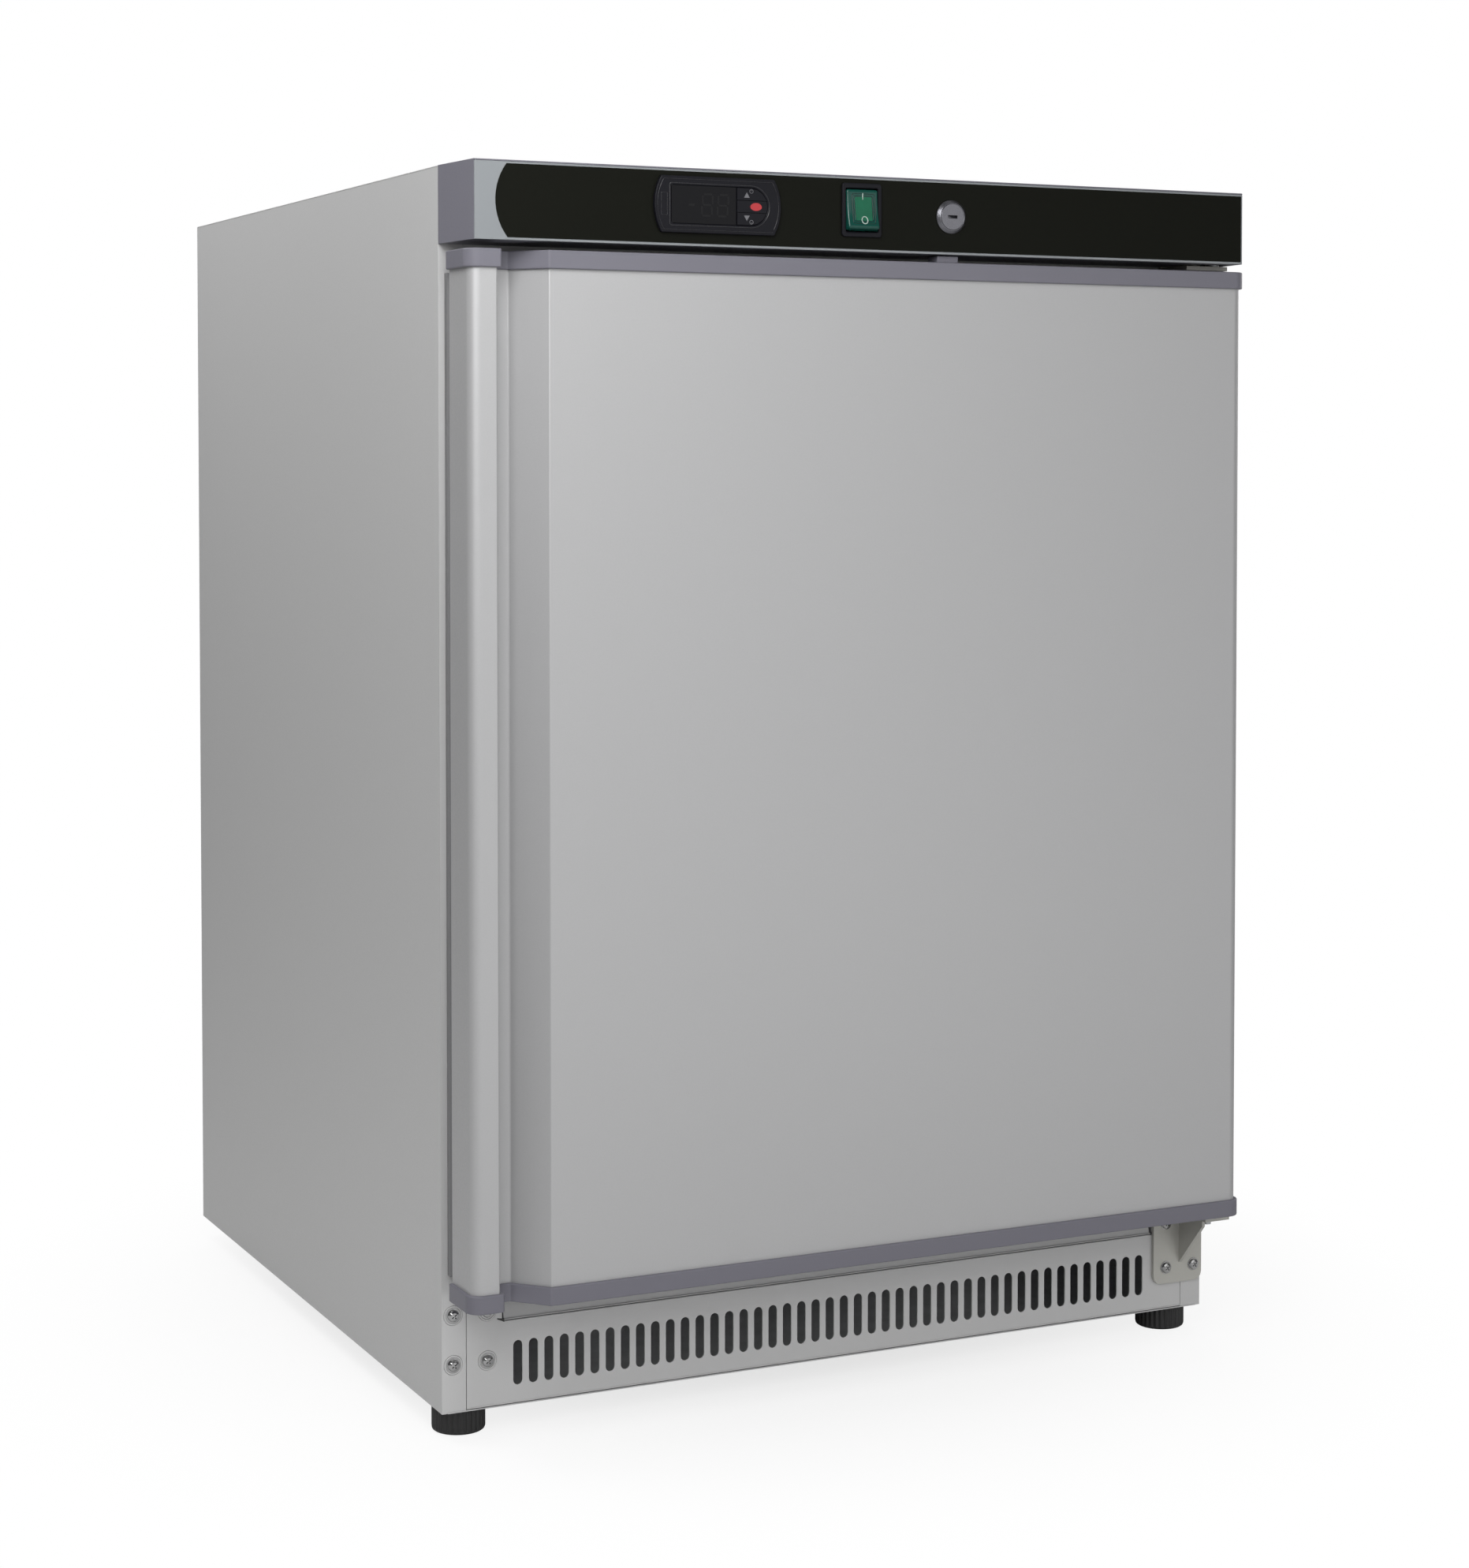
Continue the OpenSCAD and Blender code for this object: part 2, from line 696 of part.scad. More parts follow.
module shelf_top() { wire_shelf(shelf_z[2]); }
module shelf_middle() { wire_shelf(shelf_z[1]); }
module shelf_bottom() { wire_shelf(shelf_z[0]); }

module evaporator_cover() {
    x = 200;
    t = 1.8;
    y0 = inner_back - cover_d;
    z1 = ceiling_z - 2;
    color("white") difference() {
        block([-x, y0, cover_z0], [x, inner_back - 0.2, z1]);
        block([t - x, y0 + t, cover_z0 + t], [x - t, inner_back + 1, z1 - t]);
        for (ring = [0:3]) translate([0, y0 + 3, fan_z]) rotate([90, 0, 0]) difference() {
            cylinder(r = fan_r - ring * 12, h = 6);
            translate([0, 0, -1]) cylinder(r = fan_r - ring * 12 - 9, h = 8);
            for (turn = [0:60:120]) rotate([0, 0, turn]) translate([-fan_r - 1, -2.5, -1]) cube([2 * fan_r + 2, 5, 8]);
        }
        for (side = [-1, 1]) for (i = [0:7])
            front_plate(side * 130, y0 - 1, cover_z0 + 40 + i * 18, 90, 6, 4, 2.9);
    }
}

module evaporator_coil() {
    fins = 30;
    y0 = inner_back - 30;
    z0 = cover_z0 + 30;
    color("silver") union() {
        for (i = [0:fins - 1]) block([-180 + i * 12.4, y0, z0], [-179.2 + i * 12.4, inner_back - 3, z0 + 150]);
        for (row = [0:4]) bar_x(inner_back - 16, z0 + 15 + row * 30, 5, -188, 188);
        for (side = [-1, 1]) block([side * 186 - 3, inner_back - 20, z0 + 12], [side * 186 + 3, inner_back - 12, z0 + 138]);
    }
}

// A fan motor whose arms hold a shroud ring; the ring starts at y - lead
module fan_motor_at(y, lead) {
    color("dimgray") union() {
        translate([0, y, 0]) rotate([-90, 0, 0]) cylinder(r = 22, h = 26);
        for (turn = [45:90:315]) rotate([0, turn, 0]) block([20, y + 10, -3], [fan_r + 7, y + 13, 3]);
        translate([0, y - lead, 0]) rotate([-90, 0, 0]) difference() {
            cylinder(r = fan_r + 8, h = lead + 13);
            translate([0, 0, -1]) cylinder(r = fan_r + 5, h = lead + 15);
        }
    }
}

module fan_blades_at(y) {
    color("white") union() {
        translate([0, y, 0]) rotate([-90, 0, 0]) cylinder(r = 16, h = 14);
        for (i = [0:blade_count - 1]) rotate([0, i * 360 / blade_count, 0])
            translate([14, y + 7, 0]) rotate([30, 0, 0]) translate([0, -1, -13]) cube([fan_r - 20, 2, 26]);
    }
}

fan_y = inner_back - cover_d + 8;
module evaporator_fan_motor() { translate([0, 0, fan_z]) fan_motor_at(fan_y + 15, 21); }
module evaporator_fan_blades() { translate([0, 0, fan_z]) fan_blades_at(fan_y); }

module temperature_probe() {
    color("black") union() {
        bar_y(inner_half - 12, ceiling_z - 60, 3, inner_back - 150, inner_back - 110);
        block([inner_half - 14, inner_back - 135, ceiling_z - 62], [inner_half - 0.1, inner_back - 125, ceiling_z - 58]);
    }
}

// ---- machine bay ----

module compressor() {
    foot_fillet = 22;
    dome = 40;
    seam_z = 66;
    seam_h = 6;
    color("#202022") union() {
        translate([comp_x, comp_y, comp_z]) rotate_extrude() polygon(concat(
            [[0, 0], [comp_r - foot_fillet, 0]],
            arc(comp_r - foot_fillet, foot_fillet, foot_fillet, 270, 360),
            [[comp_r, seam_z], [comp_r + comp_seam, seam_z], [comp_r + comp_seam, seam_z + seam_h], [comp_r, seam_z + seam_h]],
            arc(comp_r - dome, comp_h - dome, dome, 0, 90),
            [[0, comp_h]]));
        block([comp_x - 95, comp_y - 50, comp_z - 4], [comp_x + 95, comp_y + 50, comp_z + 1.5]);
    }
}

module compressor_mounts() {
    color("black") for (side = [-1, 1]) for (y = [-40, 40])
        translate([comp_x + side * 84, comp_y + y, base_z + 1.6]) cylinder(r = 10, h = 10.2);
}

module terminal_cover() {
    seam = comp_r + comp_seam + 0.05;
    color("#2a2a2a") block([comp_x - seam - 32, comp_y - 24, base_z + 50], [comp_x - seam, comp_y + 24, base_z + 110]);
}

cond_x = -150;
cond_y0 = back_y - bay_d + 30;
module condenser_coil() {
    fins = 34;
    color("#303030") union() {
        for (i = [0:fins - 1]) block([cond_x - 100 + i * 6, cond_y0, base_z + 14], [cond_x - 99.2 + i * 6, cond_y0 + 44, base_z + 184]);
        for (row = [0:5]) for (column = [0, 1])
            bar_x(cond_y0 + 12 + column * 20, base_z + 28 + row * 28, 4.5, cond_x - 108, cond_x + 106);
        for (side = [-1, 1]) block([cond_x + side * 103 - 1, cond_y0 - 2, base_z + 12], [cond_x + side * 103 + 1, cond_y0 + 46, base_z + 188]);
    }
}

cond_fan_z = base_z + 100;
module condenser_fan_motor() { translate([cond_x, 0, cond_fan_z]) fan_motor_at(cond_y0 + 76, 29); }
module condenser_fan_blades() { translate([cond_x, 0, cond_fan_z]) fan_blades_at(cond_y0 + 61); }

// A run of pipe through a list of corners, with a brazed elbow at each inner corner
module pipe(points, r) {
    for (i = [0:len(points) - 2]) {
        d = points[i + 1] - points[i];
        length = norm(d);
        translate(points[i]) rotate([0, acos(d[2] / length), atan2(d[1], d[0])]) cylinder(r = r, h = length);
    }
    for (i = [1:1:len(points) - 2]) translate(points[i]) sphere(r = r * 1.2);
}

line_x = cond_x + 130;
line_y = comp_y + 30;
coil_y = cond_y0 + 32;
module refrigerant_pipes() {
    bay_top = base_z + bay_h - 2;
    high_z = base_z + 204;
    inlet_z = base_z + 168;
    color("peru") {
        pipe([[comp_x + 30, coil_y, base_z + 150], [comp_x + 30, coil_y, high_z], [cond_x + 114, coil_y, high_z],
            [cond_x + 114, coil_y, inlet_z], [cond_x + 104, coil_y, inlet_z]], 3.2);
        pipe([[cond_x + 104, coil_y, base_z + 28], [line_x, coil_y, base_z + 28], [line_x, line_y, base_z + 28],
            [line_x, line_y, base_z + 42]], 2.5);
        pipe([[line_x, line_y, base_z + 117], [line_x, line_y, bay_top]], 1.5);
        pipe([[comp_x - 30, line_y, base_z + 150], [comp_x - 30, line_y, bay_top]], 4);
    }
}

module filter_drier() {
    color("peru") translate([line_x, line_y, base_z + 40]) rotate_extrude()
        polygon([[0, 0], [3, 0], [3, 8], [10, 16], [10, 66], [4, 76], [4, 79.5], [0, 79.5]]);
}

module drip_tray() {
    z = comp_z + comp_h;
    color("black") difference() {
        block([comp_x - 60, comp_y - 14, z], [comp_x + 20, comp_y + 22, z + 18]);
        block([comp_x - 58, comp_y - 12, z + 2], [comp_x + 18, comp_y + 20, z + 19]);
    }
}

module drain_hose() {
    color("lightgray") translate([comp_x - 20, comp_y + 8, base_z + 182]) difference() {
        cylinder(r = 6, h = bay_h - 182 - 0.3);
        translate([0, 0, -1]) cylinder(r = 4.5, h = 60);
    }
}

gland_x = half - return_w - 40;
gland_z = base_z + 50;
gland_r = 8;
cord_r = 4;
module rear_cover() {
    inner = half - return_w - 0.3;
    vents = 25;
    vent_w = 6;
    color("silver") difference() {
        block([-inner, back_y - sheet, base_z + 14], [inner, back_y, base_z + bay_h - 0.3]);
        for (row = [0, 1]) for (i = [0:vents - 1])
            front_plate((i - (vents - 1) / 2) * 17, back_y - 3, base_z + 75 + row * 72, vent_w, 56, 5, vent_w / 2 - 0.05);
        bar_y(gland_x, gland_z, gland_r + 0.1, back_y - 5, back_y + 1);
    }
}

module cable_gland() {
    color("black") difference() {
        union() {
            bar_y(gland_x, gland_z, gland_r, back_y - 18, back_y - 0.4);
            bar_y(gland_x, gland_z, gland_r + 4, back_y - 7, back_y - sheet - 0.1);
        }
        bar_y(gland_x, gland_z, cord_r, back_y - 20, back_y + 1);
    }
}

// ---- feet ----

module foot(x, y) {
    ribs = 30;
    rib_d = 0.9;
    clear = 0.4;      // gap under the base
    stem_up = 24;     // how far its screw reaches into the base
    r = foot_dia / 2;
    color("black") translate([x, y, 0]) union() {
        linear_extrude(foot_h - clear) polygon([for (i = [0:2 * ribs - 1]) let (a = i * 180 / ribs)
            (r - (i % 2) * rib_d) * [cos(a), sin(a)]]);
        cylinder(r = foot_stem_r, h = foot_h + stem_up);
    }
}

module foot_front_left() { foot(-foot_x, foot_y); }
module foot_front_right() { foot(foot_x, foot_y); }
module foot_rear_left() { foot(-rear_foot_x, rear_foot_y); }
module foot_rear_right() { foot(rear_foot_x, rear_foot_y); }

side_panel_left();
side_panel_right();
top_panel();
back_panel();
base_tray();
machine_bay_shell();
cabinet_foam();
inner_liner();
front_frame();
front_grille();
grille_screws();
lower_hinge_bracket();
upper_hinge_bracket();
hinge_pins();
hinge_bracket_screws();
fascia_housing();
fascia_front();
fascia_film();
controller_case();
controller_window();
key_up();
key_set();
key_down();
switch_frame();
switch_rocker();
lock_barrel();
lock_plug();
lock_cam();
door_skin();
door_cap_top();
door_cap_bottom();
door_liner();
door_foam();
door_gasket();
hinge_bushes();
door_strike();
shelf_top();
shelf_middle();
shelf_bottom();
evaporator_cover();
evaporator_coil();
evaporator_fan_motor();
evaporator_fan_blades();
temperature_probe();
compressor();
compressor_mounts();
terminal_cover();
condenser_coil();
condenser_fan_motor();
condenser_fan_blades();
refrigerant_pipes();
filter_drier();
drip_tray();
drain_hose();
rear_cover();
cable_gland();
foot_front_left();
foot_front_right();
foot_rear_left();
foot_rear_right();
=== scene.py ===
"""Undercounter refrigerator: procedural materials, detail pieces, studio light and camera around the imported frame."""

import math

import bmesh
import bpy
from mathutils import Matrix, Vector


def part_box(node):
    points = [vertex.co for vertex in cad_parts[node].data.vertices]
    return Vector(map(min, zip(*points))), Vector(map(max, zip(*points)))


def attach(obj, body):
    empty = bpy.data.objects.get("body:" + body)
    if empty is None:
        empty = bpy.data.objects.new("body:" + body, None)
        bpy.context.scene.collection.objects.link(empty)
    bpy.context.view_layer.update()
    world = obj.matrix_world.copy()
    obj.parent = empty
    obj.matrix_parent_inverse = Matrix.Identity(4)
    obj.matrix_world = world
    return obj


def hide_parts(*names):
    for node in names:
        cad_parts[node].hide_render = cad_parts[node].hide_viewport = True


MM = 0.001

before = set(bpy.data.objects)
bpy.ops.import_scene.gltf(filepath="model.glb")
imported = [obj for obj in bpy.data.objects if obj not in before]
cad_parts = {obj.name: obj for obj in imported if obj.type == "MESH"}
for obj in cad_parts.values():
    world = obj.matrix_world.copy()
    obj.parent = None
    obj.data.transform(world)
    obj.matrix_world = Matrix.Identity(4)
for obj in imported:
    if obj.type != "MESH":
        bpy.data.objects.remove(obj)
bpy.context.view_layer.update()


# ---- materials ----

PATCH_DETAIL = 3.0
GRAIN_DETAIL = 2.0
TONE_REACH = 0.3  # how far either side of its middle value the mixed noise carries the tone
GLOSS_REACH = 0.2  # and the fine noise the roughness
LEAST_ROUGHNESS = 0.02


def link(tree, source, target):
    tree.links.new(source, target)


def surface(
    name,
    colour,
    roughness,
    metallic=0.0,
    tone=0.08,
    patch=120.0,
    grain=0.9,
    grain_tone=0.05,
    depth=0.02,
    spread=0.08,
    specular=0.5,
    **sockets,
):
    """A finish whose broad patches and fine grain, sized in millimetres, vary its tone, roughness and height."""
    material = bpy.data.materials.new(name)
    material.use_nodes = True
    tree = material.node_tree
    shader = tree.nodes["Principled BSDF"]
    coords = tree.nodes.new("ShaderNodeTexCoord")
    broad = tree.nodes.new("ShaderNodeTexNoise")
    broad.inputs["Scale"].default_value = 1 / (patch * MM)
    broad.inputs["Detail"].default_value = PATCH_DETAIL
    link(tree, coords.outputs["Object"], broad.inputs["Vector"])
    fine = tree.nodes.new("ShaderNodeTexNoise")
    fine.inputs["Scale"].default_value = 1 / (grain * MM)
    fine.inputs["Detail"].default_value = GRAIN_DETAIL
    link(tree, coords.outputs["Object"], fine.inputs["Vector"])
    blend = tree.nodes.new("ShaderNodeMath")
    blend.operation = "MULTIPLY_ADD"
    blend.inputs[1].default_value = grain_tone / tone
    link(tree, fine.outputs["Fac"], blend.inputs[0])
    link(tree, broad.outputs["Fac"], blend.inputs[2])
    ramp = tree.nodes.new("ShaderNodeValToRGB")
    centre = 0.5 + 0.5 * blend.inputs[1].default_value
    ramp.color_ramp.elements[0].position = max(0.0, centre - TONE_REACH)
    ramp.color_ramp.elements[1].position = min(1.0, centre + TONE_REACH)
    ramp.color_ramp.elements[0].color = (*[c * (1 - tone) for c in colour], 1.0)
    ramp.color_ramp.elements[1].color = (*[c * (1 + tone) for c in colour], 1.0)
    link(tree, blend.outputs["Value"], ramp.inputs["Fac"])
    link(tree, ramp.outputs["Color"], shader.inputs["Base Color"])
    gloss = tree.nodes.new("ShaderNodeMapRange")
    gloss.inputs["From Min"].default_value = 0.5 - GLOSS_REACH
    gloss.inputs["From Max"].default_value = 0.5 + GLOSS_REACH
    gloss.inputs["To Min"].default_value = max(LEAST_ROUGHNESS, roughness - spread)
    gloss.inputs["To Max"].default_value = min(1.0, roughness + spread)
    link(tree, fine.outputs["Fac"], gloss.inputs["Value"])
    link(tree, gloss.outputs["Result"], shader.inputs["Roughness"])
    bump = tree.nodes.new("ShaderNodeBump")
    bump.inputs["Strength"].default_value = 1.0
    bump.inputs["Distance"].default_value = depth * MM
    link(tree, fine.outputs["Fac"], bump.inputs["Height"])
    link(tree, bump.outputs["Normal"], shader.inputs["Normal"])
    shader.inputs["Metallic"].default_value = metallic
    shader.inputs["Specular IOR Level"].default_value = specular
    for socket, value in sockets.items():
        shader.inputs[socket].default_value = value
    return material


# The finish of each material slot of the frame.
FINISHES = {
    "shell_grey": surface("satin_shell", (0.5, 0.5, 0.5), 0.5, 0.1, tone=0.03, patch=260, grain=1.1, depth=0.012),
    "door_steel": surface(
        "grained_door_steel", (0.42, 0.42, 0.425), 0.5, 0.35, tone=0.03, patch=300, grain=1.0, grain_tone=0.06,
        depth=0.015,
    ),
    "zinc_steel": surface("zinc_sheet", (0.46, 0.47, 0.48), 0.38, 0.8, tone=0.14, patch=18, grain=2.5),
    "bracket_steel": surface("coated_bracket", (0.41, 0.405, 0.375), 0.5, 0.3, tone=0.04, grain=0.8),
    "screw_chrome": surface("screw_chrome", (0.4, 0.4, 0.4), 0.13, 1.0, tone=0.05, patch=4, grain=0.5, depth=0.002),
    "lilac_plastic": surface("lilac_plastic", (0.160, 0.157, 0.184), 0.38, tone=0.03, grain=0.7, specular=0.16),
    "fascia_grey": surface("fascia_grey", (0.215, 0.229, 0.24), 0.4, tone=0.02, grain=0.6, depth=0.01, specular=0.3),
    "film_black": surface(
        "fascia_film_black", (0.0052, 0.0056, 0.0038), 0.45, tone=0.05, grain=0.5, depth=0.004, specular=0.06
    ),
    "control_black": surface(
        "control_black", (0.0065, 0.0065, 0.009), 0.36, tone=0.06, grain=0.4, depth=0.006, specular=0.12
    ),
    "lens_black": surface(
        "lens_black", (0.004, 0.004, 0.005), 0.14, tone=0.05, grain=4, depth=0.001, spread=0.03, specular=0.12
    ),
    "rocker_green": surface("rocker_green", (0.01, 0.12, 0.07), 0.2, tone=0.06, grain=0.8, depth=0.004),
    "lock_nickel": surface("lock_nickel", (0.15, 0.15, 0.165), 0.32, 0.9, tone=0.05, patch=8, grain=0.4, depth=0.004),
    "white_abs": surface("white_abs", (0.78, 0.78, 0.77), 0.3, tone=0.02, patch=200, grain=1.5, depth=0.015),
    "foam": surface("polyurethane_foam", (0.70, 0.58, 0.33), 0.9, tone=0.12, patch=14, grain=1.2, depth=0.3),
    "gasket_grey": surface("gasket_rubber", (0.17, 0.17, 0.175), 0.55, tone=0.05, grain=0.8),
    "shelf_wire": surface("coated_wire", (0.72, 0.73, 0.73), 0.32, tone=0.03, grain=1.2, depth=0.03),
    "black_plastic": surface("black_plastic", (0.02, 0.02, 0.021), 0.42, grain=0.7),
    "fin_aluminium": surface("fin_aluminium", (0.62, 0.63, 0.64), 0.34, 0.9, grain=1.5, depth=0.01),
    "compressor_black": surface(
        "compressor_enamel", (0.016, 0.016, 0.018), 0.36, tone=0.1, patch=40, grain=1.4, depth=0.03
    ),
    "copper": surface("copper_tube", (0.62, 0.27, 0.15), 0.32, 0.95, tone=0.16, patch=25, grain=1.0, depth=0.01),
    "rubber_black": surface("rubber_black", (0.013, 0.013, 0.013), 0.5, tone=0.12, patch=30, grain=0.6),
}

# The finishes of the pieces that have no slot in the frame.
# Painted shade: a near-black finish for the shade in the base's fold crease, along its sill and in the relief cuts at
# the fold's ends.
PAINTED_CREASE_SHADE = surface("painted_crease_shade", (0.03, 0.03, 0.03), 0.6, tone=0.05, grain=0.5, depth=0.002)
CONTROL_LINE = surface("control_line", (0.011, 0.011, 0.014), 0.3, tone=0.05, grain=0.5, depth=0.004)
DIGIT_OFF = surface("digit_unlit", (0.0068, 0.0068, 0.0076), 0.35, tone=0.05, grain=0.5, depth=0.002, specular=0.15)
KEY_MARK = surface("key_mark_grey", (0.11, 0.11, 0.12), 0.5, tone=0.04, grain=0.3, depth=0.002)
SET_RED = surface("key_mark_red", (0.34, 0.017, 0.022), 0.45, tone=0.05, grain=0.3, depth=0.002)
COVER_GREEN = surface(
    "splash_cover_green", (0.005, 0.055, 0.042), 0.14, tone=0.06, patch=9, grain=0.8, depth=0.004, spread=0.03,
    specular=0.2, **{"Transmission Weight": 0.15, "Coat Weight": 0.06, "Coat Roughness": 0.06},
)
WINDOW_GREEN = surface(
    "switch_window_green", (0.004, 0.09, 0.045), 0.16, tone=0.12, patch=5, grain=0.5, depth=0.002, spread=0.03,
    specular=0.2,
)
COVER_LINE = surface("splash_cover_line", (0.002, 0.022, 0.016), 0.2, tone=0.05, grain=0.5, depth=0.002)
MARK_WHITE = surface("switch_mark_white", (0.34, 0.42, 0.38), 0.4, tone=0.03, grain=0.3, depth=0.002)


# ---- rounding of edges ----

WELD_GAP = 0.00001
FLAT_ANGLE = math.radians(0.4)
EDGE_ANGLE = math.radians(32)
FACE_WEIGHT = 60


def smoothing():
    """Geometry nodes that shade every face smooth, so that weighted normals can round the bevels."""
    group = bpy.data.node_groups.new("shade_smooth", "GeometryNodeTree")
    group.interface.new_socket("Geometry", in_out="INPUT", socket_type="NodeSocketGeometry")
    group.interface.new_socket("Geometry", in_out="OUTPUT", socket_type="NodeSocketGeometry")
    start = group.nodes.new("NodeGroupInput")
    smooth = group.nodes.new("GeometryNodeSetShadeSmooth")
    end = group.nodes.new("NodeGroupOutput")
    group.links.new(start.outputs[0], smooth.inputs[0])
    group.links.new(smooth.outputs[0], end.inputs[0])
    return group


SMOOTH = smoothing()


def round_edges(piece, width, merge):
    """Bevels a piece's hard edges by a width in millimetres; merge joins its flat faces into one first."""
    weld = piece.modifiers.new("weld", "WELD")
    weld.merge_threshold = WELD_GAP
    if merge:
        flat = piece.modifiers.new("planar", "DECIMATE")
        flat.decimate_type = "DISSOLVE"
        flat.angle_limit = FLAT_ANGLE
    bevel = piece.modifiers.new("bevel", "BEVEL")
    bevel.width = width * MM
    bevel.segments = 2
    bevel.limit_method = "ANGLE"
    bevel.angle_limit = EDGE_ANGLE
    bevel.miter_outer = "MITER_ARC"
    smooth = piece.modifiers.new("smooth", "NODES")
    smooth.node_group = SMOOTH
    normals = piece.modifiers.new("normals", "WEIGHTED_NORMAL")
    normals.keep_sharp = False
    normals.weight = FACE_WEIGHT


# ---- CAD nodes that keep their shape ----

# Widths of the bevels, in millimetres.
ROUNDING = {
    "side_panel_left": 0.8,
    "side_panel_right": 0.8,
    "top_panel": 0.5,
    "front_frame": 0.4,
    "front_grille": 0.35,
    "lower_hinge_bracket": 0.6,
    "upper_hinge_bracket": 0.6,
    "fascia_housing": 0.6,
    "fascia_front": 0.35,
    "fascia_film": 0.12,
    "door_liner": 1.2,
    "door_strike": 0.6,
    "inner_liner": 1.0,
    "switch_frame": 0.6,
    "lock_barrel": 0.3,
    "lock_plug": 0.3,
}

# These have a face all the way round an opening, which is left in its triangles: as one face it would be closed over.
FRAMES = ("front_frame", "door_liner", "fascia_front")

for node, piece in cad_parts.items():
    slot = piece.data.materials[0].name.split(".")[0]
    piece.data.materials[0] = FINISHES[slot]
    if node in ROUNDING:
        round_edges(piece, ROUNDING[node], merge=node not in FRAMES)


# ---- mesh builders, in millimetres ----

SAME_POINT = 0.0005

# Where a point (u, v) of an outline lies at w along each axis.
PLACE = {
    "x": lambda u, v, w: (w, u, v),
    "y": lambda u, v, w: (u, w, v),
    "z": lambda u, v, w: (u, v, w),
}


def box(node):
    """A CAD node's lowest and highest corner, in millimetres."""
    low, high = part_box(node)
    return low / MM, high / MM


def add_piece(name, builder, finish, body, stands_for=(), width=0.0, segments=3, angle=40):
    """Makes a piece from a bmesh in millimetres, rounds its hard edges and lets it ride on a body."""
    bmesh.ops.remove_doubles(builder, verts=builder.verts, dist=SAME_POINT)
    bmesh.ops.recalc_face_normals(builder, faces=builder.faces)
    bmesh.ops.scale(builder, vec=(MM, MM, MM), verts=builder.verts)
    for face in builder.faces:
        face.smooth = True
    mesh = bpy.data.meshes.new(name)
    builder.to_mesh(mesh)
    builder.free()
    mesh.materials.append(finish)
    piece = bpy.data.objects.new(name, mesh)
    bpy.context.scene.collection.objects.link(piece)
    if width:
        bevel = piece.modifiers.new("bevel", "BEVEL")
        bevel.width = width * MM
        bevel.segments = segments
        bevel.limit_method = "ANGLE"
        bevel.angle_limit = math.radians(angle)
    normals = piece.modifiers.new("normals", "WEIGHTED_NORMAL")
    normals.weight = FACE_WEIGHT
    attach(piece, body)
    if stands_for:
        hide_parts(*stands_for)
    return piece


def prism(builder, outline, low, high, axis="z"):
    """An outline extruded along an axis."""
    place = PLACE[axis]
    ends = [[builder.verts.new(place(u, v, w)) for u, v in outline] for w in (low, high)]
    builder.faces.new(ends[0])
    builder.faces.new(ends[1][::-1])
    for i in range(len(outline)):
        builder.faces.new((ends[0][i - 1], ends[0][i], ends[1][i], ends[1][i - 1]))


def tube(builder, loops, closed=True):
    """Quads between loops of as many points each, and back to the first if closed."""
    rows = [[builder.verts.new(p) for p in loop] for loop in loops]
    pairs = [(rows[i], rows[i + 1]) for i in range(len(rows) - 1)]
    if closed:
        pairs.append((rows[-1], rows[0]))
    for a, b in pairs:
        for i in range(len(a)):
            builder.faces.new((a[i - 1], a[i], b[i], b[i - 1]))


def ring(builder, outer, inner, low, high):
    """A frame between two outlines of as many points, extruded along Y."""
    place = PLACE["y"]
    corners = ((outer, low), (outer, high), (inner, high), (inner, low))
    tube(builder, [[place(u, v, w) for u, v in outline] for outline, w in corners])


def fillet(corners, steps=6):
    """An outline with each corner (x, y, radius) rounded."""
    outline = []
    for i, (x, y, radius) in enumerate(corners):
        if not radius:
            outline.append((x, y))
            continue
        here = Vector((x, y))
        before = (Vector(corners[i - 1][:2]) - here).normalized()
        after = (Vector(corners[(i + 1) % len(corners)][:2]) - here).normalized()
        half = before.angle(after) / 2
        centre = here + (before + after).normalized() * (radius / math.sin(half))
        start = here + before * (radius / math.tan(half)) - centre
        stop = here + after * (radius / math.tan(half)) - centre
        first = math.atan2(start.y, start.x)
        turn = (math.atan2(stop.y, stop.x) - first + math.pi) % math.tau - math.pi
        for k in range(steps + 1):
            a = first + turn * k / steps
            outline.append((centre.x + radius * math.cos(a), centre.y + radius * math.sin(a)))
    return outline


def rectangle(x, y, width, height, radius, steps=6):
    """A rectangle about a centre with rounded corners."""
    a, b = width / 2, height / 2
    corners = ((x - a, y - b), (x + a, y - b), (x + a, y + b), (x - a, y + b))
    return fillet([(*corner, radius) for corner in corners], steps)


def ellipse(x, y, width, height, steps=40):
    """An ellipse about a centre."""
    turns = [math.tau * k / steps for k in range(steps)]
    return [(x + width / 2 * math.cos(a), y + height / 2 * math.sin(a)) for a in turns]


def lathe(builder, profile, x, y, low, steps, shape):
    """A profile of (radius, height) turned about a vertical axis; shape scales the radius by angle and height."""
    loops = []
    for radius, height in profile:
        loop = []
        for k in range(steps):
            a = math.tau * k / steps
            r = radius * shape(a, height)
            loop.append((x + r * math.cos(a), y + r * math.sin(a), low + height))
        loops.append(loop)
    tube(builder, loops, closed=False)


